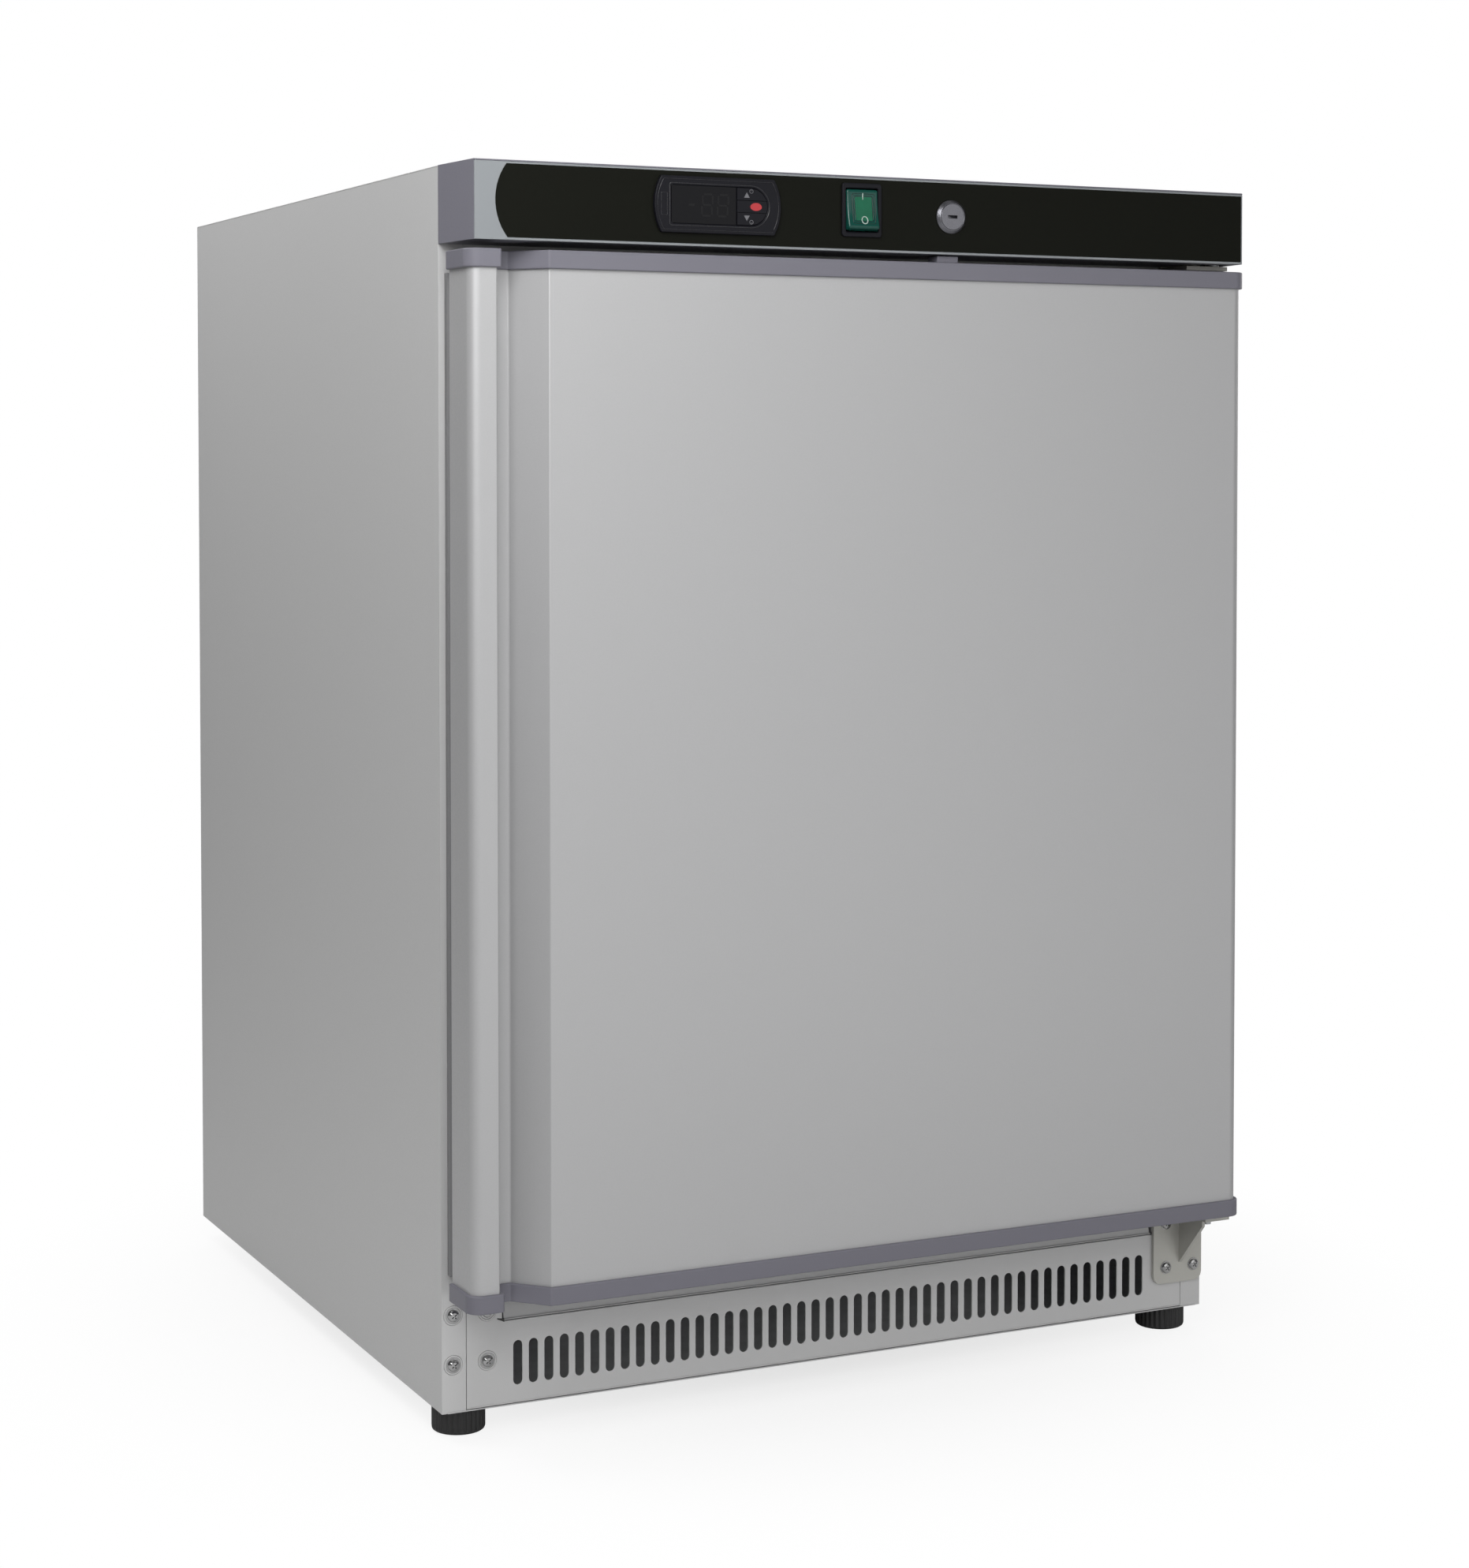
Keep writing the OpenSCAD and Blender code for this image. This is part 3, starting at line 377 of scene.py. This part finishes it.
def carve(piece, builder):
    """Cuts a bmesh in millimetres out of a piece for good."""
    mesh = bpy.data.meshes.new("cutter")
    bmesh.ops.recalc_face_normals(builder, faces=builder.faces)
    bmesh.ops.scale(builder, vec=(MM, MM, MM), verts=builder.verts)
    builder.to_mesh(mesh)
    builder.free()
    cutter = bpy.data.objects.new("cutter", mesh)
    bpy.context.scene.collection.objects.link(cutter)
    others = [(m, m.show_viewport) for m in piece.modifiers]
    for modifier, _ in others:
        modifier.show_viewport = False
    cut = piece.modifiers.new("cut", "BOOLEAN")
    cut.object = cutter
    cut.solver = "EXACT"
    graph = bpy.context.evaluated_depsgraph_get()
    result = bpy.data.meshes.new_from_object(piece.evaluated_get(graph))
    piece.modifiers.remove(cut)
    for modifier, shown in others:
        modifier.show_viewport = shown
    old = piece.data
    result.name = old.name
    piece.data = result
    bpy.data.meshes.remove(old)
    bpy.data.objects.remove(cutter)
    bpy.data.meshes.remove(mesh)


# ---- door ----

GRIP_DEPTH = 22.0
GRIP_PILLAR = 24.0
GRIP_FLAT = 12.0
GRIP_RUN = 20.0
DOOR_RADIUS = 10.0
SKIN_THICKNESS = 0.8
CREASE = math.radians(60)
BUSH_BORE = 8.0
BORE_STEPS = 48
GASKET_WIDTH = 16.0

# The bellows in section, as shares of the gasket's width and depth.
GASKET_SECTION = (
    (0.00, 0.00), (1.00, 0.00), (1.00, 0.10), (0.84, 0.15), (0.84, 0.28), (0.95, 0.36), (0.84, 0.44), (0.84, 0.52),
    (0.97, 0.58), (0.97, 0.96), (0.93, 1.00), (0.07, 1.00), (0.03, 0.96), (0.03, 0.58), (0.16, 0.52), (0.16, 0.44),
    (0.05, 0.36), (0.16, 0.28), (0.16, 0.15), (0.00, 0.10),
)


def door_outline(inset, edge, hollow):
    """Plan of the door, set in from the caps' outline; edge and hollow are the radii of the grip's bends."""
    low, high = box("door_cap_top")
    left, right, face = low.x + inset, high.x - inset, low.y + inset
    deep = face + GRIP_DEPTH
    flat_end = low.x + GRIP_PILLAR + GRIP_FLAT + inset * (math.sqrt(2) - 1)
    corner = DOOR_RADIUS - inset
    return fillet(
        [
            (left, high.y, 0),
            (left, face, corner),
            (low.x + GRIP_PILLAR - inset, face, edge),
            (low.x + GRIP_PILLAR - inset, deep, hollow),
            (flat_end, deep, hollow),
            (flat_end + GRIP_RUN, face, edge),
            (right, face, corner),
            (right, high.y, 0),
        ]
    )


def make_door_skin():
    """The door's sheet, bent round the front corners and into the grip recess."""
    low, high = box("door_skin")
    inset = low.x - box("door_cap_top")[0].x
    outer = door_outline(inset, 1.3, 2.2)
    inner = door_outline(inset + SKIN_THICKNESS, 0.5, 3.0)
    builder = bmesh.new()
    section = outer + inner[::-1]
    rails = [[builder.verts.new((x, y, z)) for x, y in section] for z in (low.z, high.z)]
    last = len(section) - 1
    for i in range(len(section)):
        builder.faces.new((rails[0][i - 1], rails[0][i], rails[1][i], rails[1][i - 1]))
    for rail in rails:
        for i in range(len(outer) - 1):
            builder.faces.new((rail[i], rail[i + 1], rail[last - i - 1], rail[last - i]))
    for edge in builder.edges:
        edge.smooth = edge.calc_face_angle(0.0) < CREASE
    skin = add_piece("door_skin_sheet", builder, FINISHES["door_steel"], "door", ["door_skin"])
    skin.modifiers["normals"].keep_sharp = True


def make_cap(node, name):
    """A moulded end cap with rounded rims, bored for its hinge bush."""
    low, high = box(node)
    builder = bmesh.new()
    prism(builder, door_outline(0.0, 2.2, 1.6), low.z, high.z)
    cap = add_piece(name, builder, FINISHES["lilac_plastic"], "door", [node], width=0.9, angle=60)
    bushes_low, bushes_high = box("hinge_bushes")
    radius = (bushes_high.x - bushes_low.x) / 2
    bore = bmesh.new()
    centre = (bushes_low + bushes_high) / 2
    is_top = low.z > centre.z
    span = (high.z - BUSH_BORE, high.z + 1) if is_top else (low.z - 1, low.z + BUSH_BORE)
    prism(bore, ellipse(centre.x, centre.y, 2 * radius, 2 * radius, BORE_STEPS), *span)
    carve(cap, bore)


def make_gasket():
    """A bellows gasket with its magnet pocket, mitred at the corners."""
    low, high = box("door_gasket")
    depth = high.y - low.y
    loops = []
    for across, along in GASKET_SECTION:
        u, y = across * GASKET_WIDTH, low.y + along * depth
        left, right, bottom, top = low.x + u, high.x - u, low.z + u, high.z - u
        loops.append([(left, y, bottom), (right, y, bottom), (right, y, top), (left, y, top)])
    builder = bmesh.new()
    tube(builder, loops)
    rubber = FINISHES["gasket_grey"]
    gasket = add_piece("door_gasket_bellows", builder, rubber, "door", ["door_gasket"], width=0.35, angle=25)


# ---- control fascia ----

BEZEL_BOW = 5.0
BEZEL_DEPTH = 3.4
POCKET_LEFT, POCKET_MIDDLE, POCKET_HALF = -34.0, 23.6, 12.5
POCKET_DEPTH = 1.15
TRIM_SUNK = 0.3
DIGIT_WIDTH, DIGIT_HEIGHT, DIGIT_STROKE = 6.0, 14.0, 1.3
DIGIT_PITCH = 11.4
DIGIT_SLANT = 0.09
DIGIT_PROUD = 0.06
MARK_THICKNESS = 0.05


def bowed(width, height, bow, steps=14):
    """A plate's outline about the origin, whose ends bow out."""
    radius = (height * height / 4 + bow * bow) / (2 * bow)
    reach = math.asin(height / 2 / radius)
    points = []
    for side in (1, -1):
        for k in range(steps + 1):
            a = reach * (2 * k / steps - 1)
            points.append((side * (width / 2 - radius + radius * math.cos(a)), side * radius * math.sin(a)))
    return points


def round_ended(left, middle, half, steps=20):
    """A D shape from its straight left end, with its corners cut, to a half circle about middle."""
    points = []
    for k in range(steps + 1):
        a = math.pi * (k / steps - 0.5)
        points.append((middle + half * math.cos(a), half * math.sin(a)))
    return points + [(left + 1, half), (left, half - 1), (left, 1 - half), (left + 1, -half)]


def moved(points, x, y):
    """An outline shifted by x and y."""
    return [(u + x, v + y) for u, v in points]


def make_controller():
    """The controller's bezel with its pocket, the trim lines round it and its unlit digits."""
    low, high = box("controller_case")
    x, z = (low.x + high.x) / 2, (low.z + high.z) / 2
    front = low.y

    def pocket_outline(grow):
        return moved(round_ended(POCKET_LEFT - grow, POCKET_MIDDLE, POCKET_HALF + grow), x, z)

    builder = bmesh.new()
    face = moved(bowed(high.x - low.x, high.z - low.z, BEZEL_BOW), x, z)
    prism(builder, face, front, front + BEZEL_DEPTH, "y")
    black = FINISHES["control_black"]
    bezel = add_piece("controller_bezel", builder, black, "cabinet", ["controller_case"], width=0.9)
    pocket = bmesh.new()
    prism(pocket, pocket_outline(0.0), front - 1, front + POCKET_DEPTH, "y")
    carve(bezel, pocket)

    trim = bmesh.new()
    ring(trim, pocket_outline(1.6), pocket_outline(1.0), front - 0.25, front + TRIM_SUNK)
    rim_outer, rim_inner = bowed(88.4, 33.4, 4.6), bowed(87.6, 32.6, 4.5)
    ring(trim, moved(rim_outer, x, z), moved(rim_inner, x, z), front - 0.2, front + TRIM_SUNK)
    tab_outer, tab_inner = rectangle(x - 39.2, z, 4.6, 15.0, 0.8), rectangle(x - 39.2, z, 3.8, 14.2, 0.5)
    ring(trim, tab_outer, tab_inner, front - 0.2, front + TRIM_SUNK)
    add_piece("controller_trim", trim, CONTROL_LINE, "cabinet")

    digits = bmesh.new()
    window_front = box("controller_window")[0].y
    for k in (0, 1):
        seven_segments(digits, x - 8.2 + DIGIT_PITCH * k, z, window_front)
    minus = rectangle(x - 19.5, z - 0.2, 4.4, 1.5, 0.3)
    prism(digits, minus, window_front - DIGIT_PROUD, window_front, "y")
    add_piece("controller_digits", digits, DIGIT_OFF, "cabinet")


def seven_segments(builder, x, z, front):
    """One unlit seven-segment digit."""
    bars = [(0, side * DIGIT_HEIGHT / 2, DIGIT_WIDTH, DIGIT_STROKE) for side in (-1, 0, 1)]
    for sx in (-1, 1):
        for sz in (-1, 1):
            across = sx * (DIGIT_WIDTH / 2 + 0.6)
            bars.append((across, sz * DIGIT_HEIGHT / 4, DIGIT_STROKE, DIGIT_HEIGHT / 2 - 1.4))
    for dx, dz, width, height in bars:
        bar = rectangle(x + dx + DIGIT_SLANT * dz, z + dz, width, height, 0.4, 2)
        prism(builder, bar, front - DIGIT_PROUD, front, "y")


def make_key_marks():
    """The printed marks on the keys: two triangles, each with a small round icon, and a red oval."""
    for node, body, up in (("key_up", "up_key", 1), ("key_down", "down_key", -1)):
        low, high = box(node)
        x, z = low.x + 7.0, (low.z + high.z) / 2 - 0.6 * up
        marks = bmesh.new()
        triangle = [(x - 2.1, z - 1.7 * up), (x + 2.1, z - 1.7 * up), (x, z + 1.9 * up)]
        prism(marks, triangle, low.y - MARK_THICKNESS, low.y, "y")
        icon_x, icon_z = x + 3.4, z + 2.6 * up
        rim, hole = ellipse(icon_x, icon_z, 2.9, 2.9, 24), ellipse(icon_x, icon_z, 2.2, 2.2, 24)
        ring(marks, rim, hole, low.y - MARK_THICKNESS, low.y)
        bar = rectangle(icon_x, icon_z + 0.9 * up, 0.4, 1.6, 0.1, 2)
        prism(marks, bar, low.y - MARK_THICKNESS, low.y, "y")
        add_piece(f"{node}_mark", marks, KEY_MARK, body)
    low, high = box("key_set")
    oval = bmesh.new()
    outline = ellipse(low.x + 13.8, (low.z + high.z) / 2, 8.4, 5.2)
    prism(oval, outline, low.y - MARK_THICKNESS, low.y, "y")
    add_piece("key_set_mark", oval, SET_RED, "set_key")


ROCKER_TILT = math.radians(8)
ROCKER_RADIUS = 14.2
ROCKER_REACH = 0.93  # the part of its radius that the dished face covers
ROCKER_FACE = 3.6
ROCKER_DISH = 1.35
ROCKER_SUNK = 6.0
ROCKER_FOOT = 12.0
WINDOW_PLACE = (0.3, 0.2)
WINDOW_SIZE = (12.6, 16.0)
LINE_WIDTH = 0.3
RELIEF_SUNK = 0.1


def rocker_front(z):
    """Where the rocker's dished face is, along Y from its pivot, at a height."""
    return -(ROCKER_FACE + ROCKER_DISH * (z / ROCKER_RADIUS) ** 2)


def make_rocker():
    """The rocker under its green splash cover with its window, lines and on and off marks, tipped about its pivot."""
    frame_low, frame_high = box("switch_frame")
    rocker_low, rocker_high = box("switch_rocker")
    x = (rocker_low.x + rocker_high.x) / 2
    half = (rocker_high.x - rocker_low.x) / 2
    pivot = Vector((x, box("fascia_front")[0].y, (frame_low.z + frame_high.z) / 2))
    tip = Matrix.Translation(pivot) @ Matrix.Rotation(-ROCKER_TILT, 4, "X")

    def settle(builder):
        bmesh.ops.transform(builder, matrix=tip, verts=builder.verts)
        return builder

    rows = 8  # above the pivot, and as many below it
    heights = [ROCKER_RADIUS * ROCKER_REACH * (k / rows - 1) for k in range(2 * rows + 1)]
    profile = [(rocker_front(z), z) for z in heights]
    profile += [(0.0, ROCKER_RADIUS), (ROCKER_SUNK, ROCKER_FOOT), (ROCKER_SUNK, -ROCKER_FOOT), (0.0, -ROCKER_RADIUS)]
    builder = bmesh.new()
    prism(builder, profile, -half, half, "x")
    settle(builder)
    cover = add_piece(
        "switch_rocker_cover", builder, COVER_GREEN, "rocker", ["switch_rocker"], width=1.7, segments=4, angle=50
    )

    window = bmesh.new()
    relief(window, rectangle(*WINDOW_PLACE, *WINDOW_SIZE, 1.0), None, 0.12)
    add_piece("switch_window", settle(window), WINDOW_GREEN, "rocker")
    lines = bmesh.new()
    for grow in (1.6, 4.6):
        outer = rectangle(*WINDOW_PLACE, *(size + grow for size in WINDOW_SIZE), 1.4)
        inner = rectangle(*WINDOW_PLACE, *(size + grow - 2 * LINE_WIDTH for size in WINDOW_SIZE), 1.2)
        relief(lines, outer, inner, 0.2)
    add_piece("switch_lines", settle(lines), COVER_LINE, "rocker")
    marks = bmesh.new()
    relief(marks, rectangle(0.0, 8.6, 0.7, 4.4, 0.2), None, 0.3)
    relief(marks, ellipse(0.6, -7.6, 5.0, 5.6, 32), ellipse(0.6, -7.6, 3.7, 4.3, 32), 0.3)
    add_piece("switch_marks", settle(marks), MARK_WHITE, "rocker")


def relief(builder, outer, inner, height):
    """A mark, or a frame if it has an inner outline, that follows the rocker's face and stands out by height."""

    def over_face(outline, proud):
        return [(u, rocker_front(v) - proud, v) for u, v in outline]

    back, front = over_face(outer, -RELIEF_SUNK), over_face(outer, height)
    if inner:
        tube(builder, [back, front, over_face(inner, height), over_face(inner, -RELIEF_SUNK)])
        return
    tube(builder, [back, front], closed=False)
    middle_x, middle_z = (sum(point[axis] for point in front) / len(front) for axis in (0, 2))
    hub = builder.verts.new((middle_x, rocker_front(middle_z) - height, middle_z))
    edge = [builder.verts.new(point) for point in front]
    for i in range(len(edge)):
        builder.faces.new((edge[i - 1], edge[i], hub))


# ---- feet ----

FOOT_RIBS = 30
FOOT_TOP = 17.6
RIB_DEPTH = 0.05  # as a share of the radius
STEM_RADIUS = 5.0


def make_foot(node, body):
    """A ribbed screw foot with a rounded lower rim and its threaded stem."""
    low, high = box(node)
    x, y = (low.x + high.x) / 2, (low.y + high.y) / 2
    radius = (high.x - low.x) / 2

    def ribs(angle, height):
        depth = RIB_DEPTH * min(1.0, max(0.0, (height - 1.2) / 1.5))
        return 1.0 - depth * (0.5 - 0.5 * math.cos(FOOT_RIBS * angle)) ** 0.6

    profile = [(0.0, 0.0), (radius - 2.6, 0.0), (radius - 1.4, 0.25), (radius - 0.5, 0.9), (radius - 0.1, 1.8)]
    profile += [(radius, 2.8), (radius, 9.0), (radius, FOOT_TOP - 0.8), (radius - 0.5, FOOT_TOP - 0.2)]
    profile += [(radius - 1.2, FOOT_TOP), (STEM_RADIUS, FOOT_TOP)]
    profile += [(STEM_RADIUS, high.z - 0.6), (STEM_RADIUS - 0.6, high.z), (0.0, high.z)]
    builder = bmesh.new()
    lathe(builder, profile, x, y, low.z, FOOT_RIBS * 8, ribs)
    foot = add_piece(f"{node}_ribbed", builder, FINISHES["rubber_black"], body, [node])


# ---- ventilated base ----

FOLD_HEIGHT = 57.0
NOTCH_IN = 26.6
SCREW_REACH = 4.7
HEM_STEPS = 12
DIMPLE_RIM = ((5.2, 0.0), (5.5, 0.3), (5.9, 0.4), (6.3, 0.3), (6.7, 0.0))  # radius, and how far it stands out


def make_base_hems():
    """The base's pressed edges: ridges along its fold and sill, screw dimples, and near-black strips and notches that
    paint the shade in the fold's crease, along the sill and in the relief cuts at the fold's ends.
    """
    low, high = box("front_grille")
    left, right = box("side_panel_left")[0].x, box("side_panel_right")[1].x
    fold = low.z + FOLD_HEIGHT
    reach = high.x - NOTCH_IN
    ridges = bmesh.new()
    for z, radius in ((fold - 0.4, 0.6), (fold + 1.1, 0.4)):
        prism(ridges, ellipse(low.y - 0.05, z, 2 * radius, 2 * radius, HEM_STEPS), -reach, reach, "x")
    prism(ridges, ellipse(low.y - 0.1, low.z + 1.7, 0.9, 0.9, HEM_STEPS), low.x, high.x, "x")
    prism(ridges, rectangle(low.y - 0.1, low.z + 0.35, 1.4, 0.7, 0.2, 2), left + 4, right - 4, "x")
    add_piece("base_hems", ridges, FINISHES["shell_grey"], "cabinet")

    # Painted shade: thin near-black strips in the fold's crease and along the sill, and near-black notches for the
    # shaded relief cuts at the fold's ends.
    painted_crease_shades = bmesh.new()
    prism(painted_crease_shades, rectangle(low.y, fold + 0.45, 0.08, 0.3, 0), -reach, reach, "x")
    prism(painted_crease_shades, rectangle(low.y, low.z + 0.95, 0.08, 0.35, 0), low.x, high.x, "x")
    for side in (-1, 1):
        inner, outer = side * reach, side * (reach + 5)
        notch = [(inner, fold - 0.6), (outer, fold + 1.6), (outer, fold + 2.4), (inner, fold + 1.6)]
        prism(painted_crease_shades, notch, low.y - 0.06, low.y + 0.4, "y")
    add_piece("base_painted_crease_shades", painted_crease_shades, PAINTED_CREASE_SHADE, "cabinet")

    screws_low, screws_high = box("grille_screws")
    rims = bmesh.new()
    for x in (screws_low.x + SCREW_REACH, screws_high.x - SCREW_REACH):
        for z in (screws_low.z + SCREW_REACH, screws_high.z - SCREW_REACH):
            loops = []
            for radius, proud in DIMPLE_RIM:
                loops.append([(u, low.y - proud, v) for u, v in ellipse(x, z, 2 * radius, 2 * radius, 32)])
            tube(rims, loops)
    add_piece("screw_dimples", rims, FINISHES["shell_grey"], "cabinet")


make_door_skin()
make_cap("door_cap_top", "door_cap_top_moulded")
make_cap("door_cap_bottom", "door_cap_bottom_moulded")
make_gasket()
make_base_hems()
make_controller()
make_key_marks()
make_rocker()
for end in ("front", "rear"):
    for side in ("left", "right"):
        make_foot(f"foot_{end}_{side}", f"{end}_{side}_foot")


# ---- stage, light and camera ----

FLOOR_HALF = 30.0
FLOOR_DROP = 0.0002
FLOOR_TONE = 0.93
BOUNCE_TONE = 0.8  # what the floor throws back onto the object
FADE_START, FADE_END = 0.1, 0.62  # metres from the object's middle over which the floor turns plain white
FADE_LEAST = 0.7  # how white it already is at the start
WORLD_LIGHT = 0.15
WHITE = (1.0, 1.0, 1.0, 1.0)

# Where each softbox stands and points, its width and height in metres, and its power.
LIGHTS = {
    "key": ((-0.46, -0.78, 1.15), (-0.28, -0.3, 0.6), 0.4, 0.4, 3.7),
    "upper_left": ((-0.9, -1.3, 1.2), (-0.2, -0.3, 0.6), 0.6, 0.6, 3.3),
    "side": ((-0.8, 0.35, 1.5), (-0.3, 0.1, 0.75), 0.6, 0.6, 7.6),
    "left": ((-1.7, -2.2, 1.6), (0.0, -0.3, 0.5), 1.2, 1.2, 20.5),
    "front": ((0.7, -2.6, 0.9), (0.0, -0.3, 0.45), 2.6, 1.8, 16.8),
    "duct": ((0.0, -0.08, 0.085), (0.0, -0.08, 0.0), 0.5, 0.12, 0.022),
    "low_fill": ((0.4, -1.5, 0.1), (0.1, -0.3, 0.05), 1.6, 0.2, 1.0),
    "right": ((2.6, 0.5, 1.2), (0.3, 0.0, 0.45), 1.4, 1.4, 14.0),
    "top": ((0.4, 0.6, 2.6), (0.0, 0.0, 0.6), 2.0, 2.0, 5.0),
    "rear": ((0.9, 2.4, 1.3), (0.0, 0.3, 0.4), 1.4, 1.4, 16.0),
}

CAMERA_PLACE = (-0.9698, -2.0994, 0.6475)
CAMERA_DIP = math.radians(1.995)
CAMERA_TURN = math.radians(-25.654)
CAMERA_LENS = 68.718
CAMERA_SHIFT = -0.141


def make_floor():
    """A wide pale floor that turns plain white away from the object."""
    mesh = bpy.data.meshes.new("floor")
    builder = bmesh.new()
    bmesh.ops.create_grid(builder, x_segments=8, y_segments=8, size=FLOOR_HALF)
    builder.to_mesh(mesh)
    builder.free()
    floor = bpy.data.objects.new("floor", mesh)
    bpy.context.scene.collection.objects.link(floor)
    floor.location.z = -FLOOR_DROP
    material = bpy.data.materials.new("pale_floor")
    material.use_nodes = True
    tree = material.node_tree
    diffuse = tree.nodes["Principled BSDF"]
    diffuse.inputs["Base Color"].default_value = (FLOOR_TONE, FLOOR_TONE, FLOOR_TONE, 1.0)
    diffuse.inputs["Roughness"].default_value = 0.8
    diffuse.inputs["Specular IOR Level"].default_value = 0.1
    white = tree.nodes.new("ShaderNodeEmission")
    white.inputs["Color"].default_value = WHITE
    coords = tree.nodes.new("ShaderNodeTexCoord")
    distance = tree.nodes.new("ShaderNodeVectorMath")
    distance.operation = "LENGTH"
    link(tree, coords.outputs["Object"], distance.inputs[0])
    fade = tree.nodes.new("ShaderNodeMapRange")
    fade.interpolation_type = "SMOOTHSTEP"
    fade.inputs["From Min"].default_value = FADE_START
    fade.inputs["From Max"].default_value = FADE_END
    fade.inputs["To Min"].default_value = FADE_LEAST
    link(tree, distance.outputs["Value"], fade.inputs["Value"])
    path = tree.nodes.new("ShaderNodeLightPath")
    seen = tree.nodes.new("ShaderNodeMath")
    seen.operation = "MULTIPLY"
    link(tree, fade.outputs["Result"], seen.inputs[0])
    link(tree, path.outputs["Is Camera Ray"], seen.inputs[1])
    bounce = tree.nodes.new("ShaderNodeBsdfDiffuse")
    bounce.inputs["Color"].default_value = (BOUNCE_TONE, BOUNCE_TONE, BOUNCE_TONE, 1.0)
    near = tree.nodes.new("ShaderNodeMixShader")
    link(tree, path.outputs["Is Camera Ray"], near.inputs["Fac"])
    link(tree, bounce.outputs["BSDF"], near.inputs[1])
    link(tree, diffuse.outputs["BSDF"], near.inputs[2])
    mix = tree.nodes.new("ShaderNodeMixShader")
    link(tree, seen.outputs["Value"], mix.inputs["Fac"])
    link(tree, near.outputs["Shader"], mix.inputs[1])
    link(tree, white.outputs["Emission"], mix.inputs[2])
    link(tree, mix.outputs["Shader"], tree.nodes["Material Output"].inputs["Surface"])
    mesh.materials.append(material)


def make_world():
    """A white backdrop that lights the object less than its looks would."""
    world = bpy.data.worlds.new("studio")
    bpy.context.scene.world = world
    world.use_nodes = True
    tree = world.node_tree
    light = tree.nodes["Background"]
    light.inputs["Color"].default_value = WHITE
    light.inputs["Strength"].default_value = WORLD_LIGHT
    seen = tree.nodes.new("ShaderNodeBackground")
    seen.inputs["Color"].default_value = WHITE
    seen.inputs["Strength"].default_value = 1.0
    path = tree.nodes.new("ShaderNodeLightPath")
    mix = tree.nodes.new("ShaderNodeMixShader")
    link(tree, path.outputs["Is Camera Ray"], mix.inputs["Fac"])
    link(tree, light.outputs["Background"], mix.inputs[1])
    link(tree, seen.outputs["Background"], mix.inputs[2])
    link(tree, mix.outputs["Shader"], tree.nodes["World Output"].inputs["Surface"])


def make_light(name, place, target, width, height, power):
    """A rectangular softbox at place, turned to target."""
    data = bpy.data.lights.new(name, "AREA")
    data.shape = "RECTANGLE"
    data.size = width
    data.size_y = height
    data.energy = power
    light = bpy.data.objects.new(name, data)
    light.location = place
    light.visible_camera = False
    light.rotation_euler = (Vector(target) - Vector(place)).to_track_quat("-Z", "Y").to_euler()
    bpy.context.scene.collection.objects.link(light)


def make_camera():
    """The camera in front and to the left, a little below the top, looking slightly down."""
    data = bpy.data.cameras.new("camera")
    data.sensor_width = 36.0
    data.lens = CAMERA_LENS
    data.shift_y = CAMERA_SHIFT
    data.clip_start = 0.05
    data.clip_end = 100.0
    camera = bpy.data.objects.new("camera", data)
    camera.location = CAMERA_PLACE
    camera.rotation_euler = (math.pi / 2 - CAMERA_DIP, 0.0, CAMERA_TURN)
    bpy.context.scene.collection.objects.link(camera)
    bpy.context.scene.camera = camera


make_floor()
make_world()
for name, settings in LIGHTS.items():
    make_light(name, *settings)
make_camera()
bpy.context.scene.view_settings.view_transform = "Standard"
